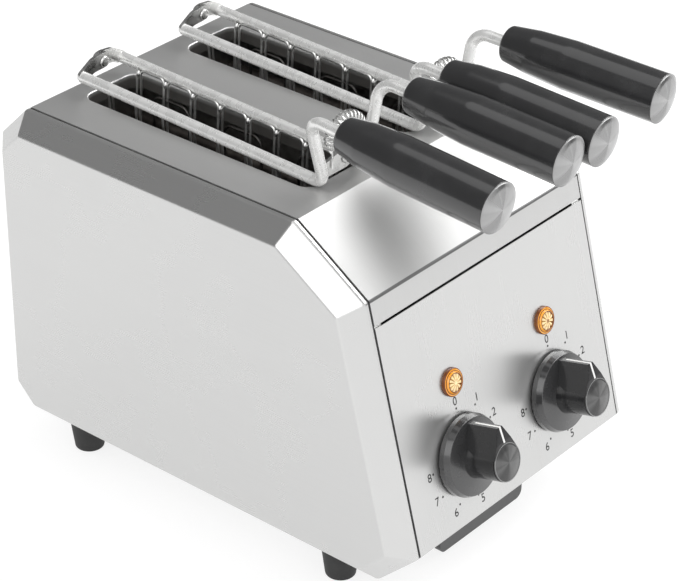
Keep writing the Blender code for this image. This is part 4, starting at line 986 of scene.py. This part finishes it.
def knob(label, x):
    """A skirted timer knob with its pointed grip, and the white line on the point."""
    move = panel_frame(x, KNOB_DROP)
    body = label + "_timer_dial"
    skirt = [
        (0, KNOB_ROOT_LEVEL),
        (KNOB_GRIP_ROOT_RADIUS, KNOB_ROOT_LEVEL),
        (KNOB_FACE_RADIUS, KNOB_FACE_LEVEL),
        (KNOB_SKIRT_RADIUS, KNOB_RIM_LEVEL),
        (KNOB_SKIRT_RADIUS, KNOB_CLEARANCE),
        (0, KNOB_CLEARANCE),
    ]
    shape = turned(move, 96, skirt, (0.0004, 0.0006, 0.0005, 0.0004))
    piece(label + "_timer_knob_skirt", shape, skirt_black, label + "_timer_knob")
    stem = [
        (0, KNOB_CAP_FOOT),
        (KNOB_GRIP_RADIUS, KNOB_CAP_FOOT),
        (KNOB_GRIP_RADIUS + 0.0001, KNOB_ROOT_LEVEL + 0.0040),
        (KNOB_GRIP_ROOT_RADIUS + 0.0004, KNOB_ROOT_LEVEL - 0.0004),
        (0, KNOB_ROOT_LEVEL - 0.0004),
    ]
    grip_shape = turned(move, 72, stem, (0.0003, 0.02, 0.0001), 6)
    edge = KNOB_GRIP_RADIUS
    dome = [
        (0, KNOB_CAP_LEVEL + KNOB_CAP_RISE), (edge * 0.55, KNOB_CAP_LEVEL + KNOB_CAP_RISE * 0.6),
        (edge - 0.0010, KNOB_CAP_LEVEL - 0.0003), (edge - 0.0005, KNOB_CAP_LEVEL - 0.0003),
        (edge, KNOB_CAP_FOOT + 0.0009), (edge - 0.0005, KNOB_CAP_FOOT), (0, KNOB_CAP_FOOT)]
    centre = move @ Vector((0, 0, KNOB_CAP_LEVEL))
    face = spun(label + "_knob_cap", centre, PANEL_OUT, grey(0.06, 0), grey(0.17, 0), (0.20, 0.26), 0.6, 0.6)
    shape = turned(move, 64, dome, (0.02, 0.0006, 0.0002, 0.0006, 0.0001), 8)
    piece(label + "_knob_cap", shape, face, body=body)
    # A thin grey ring round the cap's edge: a painted highlight for the glint on the cap's bevel
    across, level, radius = edge - 0.00045, KNOB_CAP_LEVEL - 0.00035, KNOB_HIGHLIGHT_RING_RADIUS
    turns = [share * 2 * pi for share in shares(12)]
    trim = [(across + radius * cos(turn), level + radius * sin(turn)) for turn in turns]
    piece(label + "_knob_rim_highlight", turned(move, 64, trim), rim_highlight_grey, body=body)
    tip = FIN_TIP_WIDTH / 2
    reach = sqrt(FIN_REACH ** 2 + tip ** 2)
    touch = atan2(FIN_REACH, tip) - atan2(sqrt(reach ** 2 - edge ** 2), edge)
    foot = Vector((edge * cos(touch), edge * sin(touch)))
    plan = [(tip, FIN_REACH), (-tip, FIN_REACH), (-foot.x, foot.y), (foot.x, foot.y)]
    height = KNOB_CAP_LEVEL - 0.0002 - KNOB_FACE_LEVEL
    fin = prism([Vector((*place, KNOB_FACE_LEVEL)) for place in plan], (0, 0, height))
    fall = KNOB_CAP_LEVEL - FIN_CORNER_LEVEL
    run = FIN_REACH - edge
    slope = Vector((0, fall, run)).normalized()
    cut = Vector((0, FIN_REACH, FIN_CORNER_LEVEL))
    bmesh.ops.bisect_plane(
        fin, geom=fin.verts[:] + fin.edges[:] + fin.faces[:], plane_co=cut, plane_no=slope, clear_outer=True)
    bmesh.ops.holes_fill(fin, edges=[item for item in fin.edges if item.is_boundary])
    bmesh.ops.bevel(
        fin, geom=[item for item in fin.edges if item.calc_length() > 0.003], offset=FIN_EDGE, segments=2,
        profile=0.5, affect="EDGES", material=-1)
    bmesh.ops.recalc_face_normals(fin, faces=fin.faces)
    bmesh.ops.transform(fin, matrix=move, verts=fin.verts)
    add_to(grip_shape, fin)
    piece(label + "_timer_knob_grip", grip_shape, black_knob, body=body)
    start = LINE_START - edge
    top = Vector((0, LINE_START, KNOB_CAP_LEVEL - fall * start / run)) + slope * LINE_PROUD
    corner = cut + Vector((0, LINE_PROUD * 0.8, LINE_PROUD))
    low = Vector((0, FIN_REACH + LINE_PROUD, KNOB_FACE_LEVEL + 0.0042))
    sunk = 3 * LINE_PROUD
    inner = [top - slope * sunk, corner - Vector((0, sunk, sunk)), low - Vector((0, sunk, 0))]
    aside = Vector((LINE_HALF_WIDTH, 0, 0))
    line = prism([point - aside for point in [low, corner, top] + inner], aside * 2)
    bmesh.ops.transform(line, matrix=move, verts=line.verts)
    piece(label + "_pointer_line", line, white_paint, body=body)


def lamp(label, x):
    """A signal lamp: a ringed glass rim and a star cut lens."""
    move = panel_frame(x, LAMP_DROP)
    rim = [
        (LAMP_LENS_RADIUS - 0.0004, 0.0010), (LAMP_LENS_RADIUS - 0.0004, 0.0030),
        (LAMP_LENS_RADIUS + 0.0002, 0.0034), (LAMP_LENS_RADIUS + 0.0006, LAMP_RIM_HEIGHT),
        (LAMP_RIM_RADIUS, LAMP_RIM_HEIGHT - 0.0004), (LAMP_RIM_RADIUS, GAP), (LAMP_STEM_RADIUS, GAP),
        (LAMP_STEM_RADIUS, -SHEET - GAP), (0, -SHEET - GAP)]
    shape = turned(move, 64, rim, (0.0002, 0.0003, 0.0003, 0.0006, 0.0003, 0.0001, 0.0001))
    piece(label + "_lamp_rim", shape, amber_rim, label + "_lamp_lens")
    for name, profile, radii, steps in LAMP_RINGS:
        piece(f"{label}_lamp_{name}", turned(move, 64, profile, radii, steps), amber_groove, body="casing")
    star = bmesh.new()
    groove = star.verts.layers.float.new("groove")
    rows = []
    for radius, height, deep in STAR_RINGS:
        row = []
        for step in range(STAR_TEETH * 4):
            turn = step * pi / STAR_TEETH / 2
            level = height - (deep if step % 4 == 0 else 0)
            row.append(move @ Vector((radius * cos(turn), radius * sin(turn), level)))
        rows.append(row)
    made = loft(star, rows)
    for row in made[1:]:
        for vert in row[::4]:
            vert[groove] = 1.0
    for row in (made[-1], made[0]):
        bmesh.ops.contextual_create(star, geom=row)
    bmesh.ops.recalc_face_normals(star, faces=star.faces)
    piece(label + "_lamp_star", star, amber_lens, body="casing", sharp=5)


def dial(label, x):
    """Plain numbers and dots round a knob."""
    bm = bmesh.new()
    move = panel_frame(x, KNOB_DROP)
    for number in range(9):
        turn = pi / 2 - DIAL_STEP * number
        dot = move @ Matrix.Translation((DOT_RING * cos(turn), DOT_RING * sin(turn), INK_HEIGHT))
        bmesh.ops.create_circle(bm, cap_ends=True, segments=14, radius=DOT_RADIUS, matrix=dot)
        font = put(
            bpy.data.curves.new("number", "FONT"), body=str(number), size=NUMBER_SIZE, align_x="CENTER",
            align_y="CENTER", offset=0.00005)
        text = new_object("number", font)
        flat = evaluated_mesh(text)
        across, up = NUMBER_SHIFTS.get(number, (0, 0))
        spot = (NUMBER_RING * cos(turn) + across, NUMBER_RING * sin(turn) + up, INK_HEIGHT)
        flat.transform(move @ Matrix.Translation(spot))
        bm.from_mesh(flat)
        bpy.data.objects.remove(text)
        bpy.data.meshes.remove(flat)
    piece(label + "_dial_marks", bm, dial_ink, body="casing")


def inside():
    """The elements and guard wires, and the finish of the solids that are kept as they are."""
    front = SLOT_FRONT - BULKHEAD_MARGIN
    back = SLOT_BACK + BULKHEAD_MARGIN
    middle = (ELEMENT_LOWEST + ELEMENT_HIGHEST) / 2
    bend = (middle - ELEMENT_LOWEST) / 3
    zone = COVER_HALF - SLOT_CENTRE - SLOT_WIDTH / 2
    outer = SLOT_CENTRE + SLOT_WIDTH / 2 + zone * ELEMENT_OUTER_SHARE
    inner = (SLOT_CENTRE - SLOT_WIDTH / 2) * (1 - ELEMENT_INNER_SHARE)
    for name, x in (
            ("left_outer", -outer), ("left_inner", -inner), ("right_inner", inner), ("right_outer", outer)):
        corners = [
            at(x, front - ELEMENT_TAIL, ELEMENT_LOWEST),
            at(x, back - ELEMENT_TURN_MARGIN, ELEMENT_LOWEST),
            at(x, back - ELEMENT_TURN_MARGIN, middle),
            at(x, front + ELEMENT_TURN_MARGIN, middle),
            at(x, front + ELEMENT_TURN_MARGIN, ELEMENT_HIGHEST),
            at(x, back + ELEMENT_TAIL, ELEMENT_HIGHEST),
        ]
        wire(name + "_element_sheath", rounded_path(corners, (bend,) * 4, 10), ELEMENT_RADIUS, element_sheath,
             name + "_element", 5)
    pitch = (SLOT_BACK - SLOT_FRONT - 2 * GUARD_FIRST) / (GUARD_COUNT - 1)
    for slot_name, centre in (("left", -SLOT_CENTRE), ("right", SLOT_CENTRE)):
        for side_name, x in (("left", centre - GUARD_SPREAD), ("right", centre + GUARD_SPREAD)):
            corners = [at(x, front + GAP, GUARD_BOTTOM)]
            for index in range(GUARD_COUNT):
                y = SLOT_FRONT + GUARD_FIRST + index * pitch
                ends = [at(x, y, GUARD_BOTTOM), at(x, y, GUARD_TOP)]
                corners += ends if index % 2 == 0 else ends[::-1]
            corners.append(at(x, back - GAP, GUARD_BOTTOM))
            path = rounded_path(corners, (GUARD_BEND,) * (len(corners) - 2), 6)
            name = f"{slot_name}_slot_{side_name}_guard"
            wire(name + "_wire", path, GUARD_RADIUS, guard_wire, name)
    for material, names in (
            (inner_steel, ("front_bulkhead", "rear_bulkhead", "left_tray_guide", "right_tray_guide")),
            (mirror_steel, ("left_reflector", "right_reflector", "centre_reflector")),
            (timer_case, ("left_timer", "right_timer", "left_lamp_body", "right_lamp_body")),
            (screw_steel, ("left_timer_shaft", "right_timer_shaft"))):
        for name in names:
            data = frame["nodes"][name].data
            data.materials.clear()
            data.materials.append(material)


def gland():
    points = [
        (0.004, 0.014), (0.0065, 0.014), (0.009, 0.003), (0.009, GAP), (0.0065, GAP), (0.0065, -0.008),
        (0.004, -0.008), (0.004, 0.014)]
    shape = turned(facing_back(*GLAND_PLACE), 40, points, (0.0008, 0.001, 0.0003, 0.0002, 0.0003, 0.0003))
    piece("cable_gland_moulded", shape, black_gland, "cable_gland")


def rear_lug_outline(side):
    """An arched strap from the bar's end up to the rivet."""
    x, z = ROD_SPREAD, ROD_BACK_RISE
    crown = AXIS_RISE + LUG_RADIUS - 0.0006
    corners = [Vector((side * across, 0, up)) for across, up in (
        (x + 0.0036, z - 0.0015), (x + 0.0030, z + 0.0028), (0.0095, crown - 0.0012), (0, crown),
        (-0.0050, crown - 0.0012), (-0.0046, AXIS_RISE - 0.0030), (0, AXIS_RISE - 0.0042),
        (0.0090, AXIS_RISE - 0.0045), (x - 0.0030, z - 0.0030))]
    join = (corners[0] + corners[-1]) / 2
    radii = (0.0022, 0.003, 0.008, 0.012, 0.003, 0.003, 0.012, 0.012, 0.0022)
    return [(point.x, point.z) for point in rounded_path([join, *corners, join], radii, 5)[:-1]]


def front_lug_outline(side):
    """A lug that reaches from the bar to the pivot pin, round at its end."""
    reach = side * LUG_REACH
    turns = [pi / 2 + side * pi * share for share in shares(20)]
    end = [(LUG_RADIUS * cos(turn), AXIS_RISE + LUG_RADIUS * sin(turn)) for turn in turns]
    return [(reach, AXIS_RISE - LUG_RADIUS), (reach, AXIS_RISE + LUG_REACH_RISE)] + end


def lug_into(bm, x, outline, y):
    turns = [step * pi / 12 for step in range(24)]
    hole = [(LUG_HOLE * cos(turn), AXIS_RISE + LUG_HOLE * sin(turn)) for turn in turns]
    border, inner = ([over_deck(x + across, y, up) for across, up in line] for line in (outline, hole))
    add_to(bm, prism(border, (0, LUG_SHEET, 0), [inner]))


def grip_axis(x, side, spreads):
    neck = over_deck(x + side * spreads[0], NECK_Y, GRIP_LINE_RISE)
    tip = over_deck(x + side * spreads[1], GRIP_FRONT_Y, GRIP_TIP_RISE)
    return neck, tip, (tip - neck).normalized()


def arm(name, x, side, spreads, layer):
    """One bar of a tong, bent up into its grip, with the lugs that hold it."""
    neck, _, along = grip_axis(x, side, spreads)
    rod_x = x + side * ROD_SPREAD
    corners = [
        over_deck(rod_x, ROD_BACK + layer + LUG_SHEET / 2, ROD_BACK_RISE),
        over_deck(rod_x, NECK_Y, ROD_FRONT_RISE),
        neck,
        neck + along * (GRIP_LEAD + GRIP_BORE_DEPTH - GAP),
    ]
    wire(name + "_bar", rounded_path(corners, (NECK_BEND, GRIP_BEND), 14), ROD_RADIUS, zinc_bar, name, 6)
    bm = bmesh.new()
    lug_into(bm, x, rear_lug_outline(side), ROD_BACK + layer)
    lug_into(bm, x, front_lug_outline(side), FRONT_LUG_Y + layer)
    piece(name + "_lugs", bm, lug_steel, body=frame["nodes"][name]["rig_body"], edge=0.0003)


def grip(name, x, side, spreads):
    """A tapered plastic grip with a turned metal cap set in its end."""
    neck, tip, along = grip_axis(x, side, spreads)
    back, further = GRIP_TRIMS[name[:-5]]
    length = GRIP_LENGTH + further
    taper = GRIP_LENGTH * GRIP_TAPER_SHARE
    bore = ROD_RADIUS + GAP
    edge = GRIP_RADIUS
    move = aim(neck + along * GRIP_LEAD, tip)
    points = [
        (0, length - 0.0035), (edge - 0.0009, length - 0.0035), (edge - 0.0009, length - 0.0003),
        (edge, length - 0.0003), (edge, taper), ((GRIP_BACK_RADIUS + 2 * edge) / 3, taper / 2),
        (GRIP_BACK_RADIUS + 0.0002, back), (bore, back), (bore, 0.020), (0, 0.020)]
    shape = turned(move, 64, points, (0.0001, 0.0001, 0.0002, 0.05, 0.03, 0.003, 0.0003, 0.0001), 8)
    piece(name + "_moulded", shape, black_grip, name)
    dome = [
        (0, length + GRIP_DOME), (edge * 0.5, length + GRIP_DOME * 0.88),
        (edge * 0.8, length + GRIP_DOME * 0.55), (edge - 0.0007, length + 0.0005),
        (edge - 0.0005, length + 0.0002), (edge, length + 0.0002),
        (edge, length - 0.0002), (edge - 0.0011, length - 0.0002), (edge - 0.0011, length - 0.003),
        (0, length - 0.003)]
    face = spun(name + "_end", tip, along, grey(0.27, 0), grey(0.48, 0), (0.24, 0.34), 0.85, 0.8)
    shape = turned(move, 64, dome, (0.02, 0.01, 0.0003, 0.0001, 0.0002, 0.0002, 0.0001, 0.0001), 8)
    piece(name + "_cap", shape, face, body=frame["nodes"][name]["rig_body"])


def cage(name, x, side):
    """The looped wire that hangs from a bar, and the weld beads that hold it there."""
    offset = ROD_SPREAD - ROD_RADIUS - GAP - CAGE_RADIUS
    corners = []
    radii = []
    welds = bmesh.new()
    drop = [
        (0, 0.0026), (0.0008, 0.0021), (0.0014, 0.0008), (0.0013, -0.0006), (0.0006, -0.0018), (0, -0.0020)]
    for index in range(CAGE_COUNT):
        row = SLOT_FRONT + CAGE_FIRST + index * CAGE_PITCH
        ends = []
        for y in (row - CAGE_LOOP_HALF, row + CAGE_LOOP_HALF):
            top = over_deck(x + side * offset, y, ROD_FRONT_RISE + (y - NECK_Y) * CAGE_SLOPE)
            ends.append((top, at(x + side * CAGE_BOTTOM_SPREAD, y, CAGE_BOTTOM)))
        corners += [ends[0][0], ends[0][1], ends[1][1], ends[1][0]]
        radii += [CAGE_BEND, CAGE_LOOP_HALF * 0.99, CAGE_LOOP_HALF * 0.99, CAGE_BEND]
        rise = ROD_FRONT_RISE + (row - NECK_Y) * CAGE_SLOPE - 0.0030
        spot = over_deck(x + side * (offset - 0.0006), row, rise)
        add_to(welds, turned(Matrix.Translation(spot), 12, drop))
    path = rounded_path(corners, radii[1:-1], 6)
    wire(name + "_wire", path, CAGE_RADIUS - CAGE_THINNING, chrome_wire, name)
    piece(name + "_welds", welds, weld_bead, body=frame["nodes"][name]["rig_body"], sharp=60)


def pin(name, x, start):
    """A headed pin through both halves' lugs."""
    length = LUG_LAYER + LUG_SHEET + 2 * GAP
    head = RIVET_HEAD_RADIUS
    rise = RIVET_HEAD_HEIGHT
    points = [
        (0, length + rise), (head, length + rise), (head, length), (RIVET_RADIUS, length), (RIVET_RADIUS, 0),
        (head, 0), (head, -rise), (0, -rise)]
    move = facing_back(x, start - GAP, CASING_HEIGHT + AXIS_RISE)
    shape = turned(move, 32, points, (0.0012, 0.0001, 0.0001, 0.0001, 0.0001, 0.0012), 5)
    piece(name + "_turned", shape, screw_steel, name)


def spring(name, x):
    """A coil arched over the pivot, its two legs down beside the lugs."""
    left_y = FRONT_LUG_Y - GAP - SPRING_WIRE_RADIUS
    right_y = left_y + LUG_LAYER
    middle_y = (left_y + right_y) / 2
    path = [over_deck(x - SPRING_ARCH_RADIUS, left_y, SPRING_LEG_BOTTOM)]
    for share in shares(SPRING_TURNS * SPRING_TURN_POINTS):
        sweep = pi * (1 - share)
        turn = 2 * pi * SPRING_TURNS * share
        rise = min(1, 2 * SPRING_TURNS * share, 2 * SPRING_TURNS * (1 - share))
        radius = SPRING_ARCH_RADIUS + SPRING_COIL_RADIUS * rise * sin(turn)
        sideways = SPRING_COIL_RADIUS * rise * cos(turn)
        path.append(over_deck(
            x + radius * cos(sweep),
            middle_y - sideways + (middle_y - left_y) * cos(sweep) * (1 - rise),
            SPRING_ARCH_RISE + radius * sin(sweep)))
    path.append(over_deck(x + SPRING_ARCH_RADIUS, right_y, SPRING_LEG_BOTTOM))
    wire(name + "_coil", path, SPRING_WIRE_RADIUS, spring_steel, name)


def tong(label, x):
    pin(label + "_front_pin", x, FRONT_LUG_Y)
    pin(label + "_rear_rivet", x, ROD_BACK)
    spring(label + "_spring", x)
    for half, side in (("left", -1), ("right", 1)):
        name = label + "_" + half
        reaches = GRIP_STANDOFFS[label][half]
        spreads = [ROD_SPREAD + reach if side * x > 0 else SLOT_CENTRE - reach for reach in reaches]
        arm(name + "_arm", x, side, spreads, LUG_LAYER if side > 0 else 0)
        cage(name + "_cage", x, side)
        grip(name + "_grip", x, side, spreads)


def emptied(owner):
    """The node tree of a world or material, with nothing in it."""
    owner.use_nodes = True
    owner.node_tree.nodes.clear()
    return owner.node_tree


def by_ray(tree, lighting, seen):
    """One shader for the light that falls on the part, another for what is seen or mirrored."""
    mask = new_node(tree, "LightPath", output="Is Camera Ray")
    rays = mask.node.outputs
    for kind in ("Is Glossy Ray", "Is Transmission Ray"):
        mask = new_node(tree, "Math", {0: mask, 1: rays[kind]}, operation="MAXIMUM")
    return new_node(tree, "MixShader", {0: mask, 1: lighting, 2: seen})


def studio():
    """White all round, a matt floor, two dark cards for the gloss and two square lamps."""
    scene.world = bpy.data.worlds.new("studio")
    tree = emptied(scene.world)
    dim = new_node(tree, "Background", {"Color": (1, 1, 1, 1), "Strength": 0.75})
    white = new_node(tree, "Background", {"Color": (1, 1, 1, 1), "Strength": 1.0})
    new_node(tree, "OutputWorld", {"Surface": by_ray(tree, dim, white)})

    bm = bmesh.new()
    bmesh.ops.create_circle(bm, cap_ends=True, segments=96, radius=9)
    floor = new_object("floor", mesh_of("floor", bm))
    made = bpy.data.materials.new("floor_white")
    tree = emptied(made)
    matt = new_node(tree, "BsdfDiffuse", {"Color": (0.75, 0.75, 0.75, 1)})
    pale = new_node(tree, "BsdfDiffuse", {"Color": (0.30, 0.30, 0.30, 1)})
    glow = new_node(tree, "Emission", {"Color": (1, 1, 1, 1), "Strength": 0.78})
    both = new_node(tree, "AddShader", {0: pale, 1: glow})
    new_node(tree, "OutputMaterial", {"Surface": by_ray(tree, matt, both)})
    floor.data.materials.append(made)

    grey_card("back_card", (-80, 96), (3, 62), 0.16)
    grey_card("low_card", (119, 152), (2, 41), 0.02)
    soft_box("slope_box", (0.656, -0.290, 0.697), 2.3, 4.5)
    soft_box("bevel_box", (-0.708, -0.226, 0.670), 2.2, 1.5)


def grey_card(name, azimuths, elevations, level):
    """A curved card that only the metal's and plastic's gloss sees."""
    bm = bmesh.new()
    rows = []
    turns = [radians(azimuths[0] + (azimuths[1] - azimuths[0]) * share) for share in shares(24)]
    for share in shares(8):
        rise = radians(elevations[0] + (elevations[1] - elevations[0]) * share)
        ways = [Vector((cos(rise) * sin(turn), cos(rise) * cos(turn), sin(rise))) for turn in turns]
        rows.append([way * CARD_DISTANCE for way in ways])
    loft(bm, rows, closed=False)
    card = new_object(name, mesh_of(name, bm))
    made = bpy.data.materials.new(name)
    tree = emptied(made)
    tone = new_node(tree, "Emission", {"Color": (level, level, level, 1), "Strength": 1.0})
    new_node(tree, "OutputMaterial", {"Surface": tone})
    card.data.materials.append(made)
    put(card, visible_camera=False, visible_diffuse=False, visible_shadow=False, visible_transmission=False)


def soft_box(name, way, size, level):
    """A square lamp at a distance, given the brightness of its face."""
    light = put(bpy.data.lights.new(name, "AREA"), size=size, energy=level * pi * size * size)
    turn = Matrix.Rotation(pi, 4, "X")
    new_object(name, light).matrix_world = aim(Vector(way) * LAMP_DISTANCE, LAMP_TARGET) @ turn


def camera():
    data = put(
        bpy.data.cameras.new("photo_camera"), sensor_width=36, lens=138.278, shift_x=-0.00669,
        shift_y=0.02095, clip_start=0.05)
    scene.camera = put(
        new_object("photo_camera", data), location=(-1.01776, -0.86011, 0.91583),
        rotation_euler=(1.0280938, -0.0051645, -0.8741349))


camera()
studio()
for label, side in (("left_side", -1), ("right_side", 1)):
    side_panel(label + "_panel", side)
# Black strips of painted shade in the side seams
for label, side in (("left_side", -1), ("right_side", 1)):
    seam_seal(label, side)
top_cover()
control_panel()
back_panel()
base_plate()
feet()
crumb_tray()
inside()
gland()
for label, x in (("left", -SLOT_CENTRE), ("right", SLOT_CENTRE)):
    knob(label, x)
    lamp(label, x)
    dial(label, x)
tong("first_tong", -SLOT_CENTRE)
tong("second_tong", SLOT_CENTRE)

scene.view_settings.view_transform = "Standard"
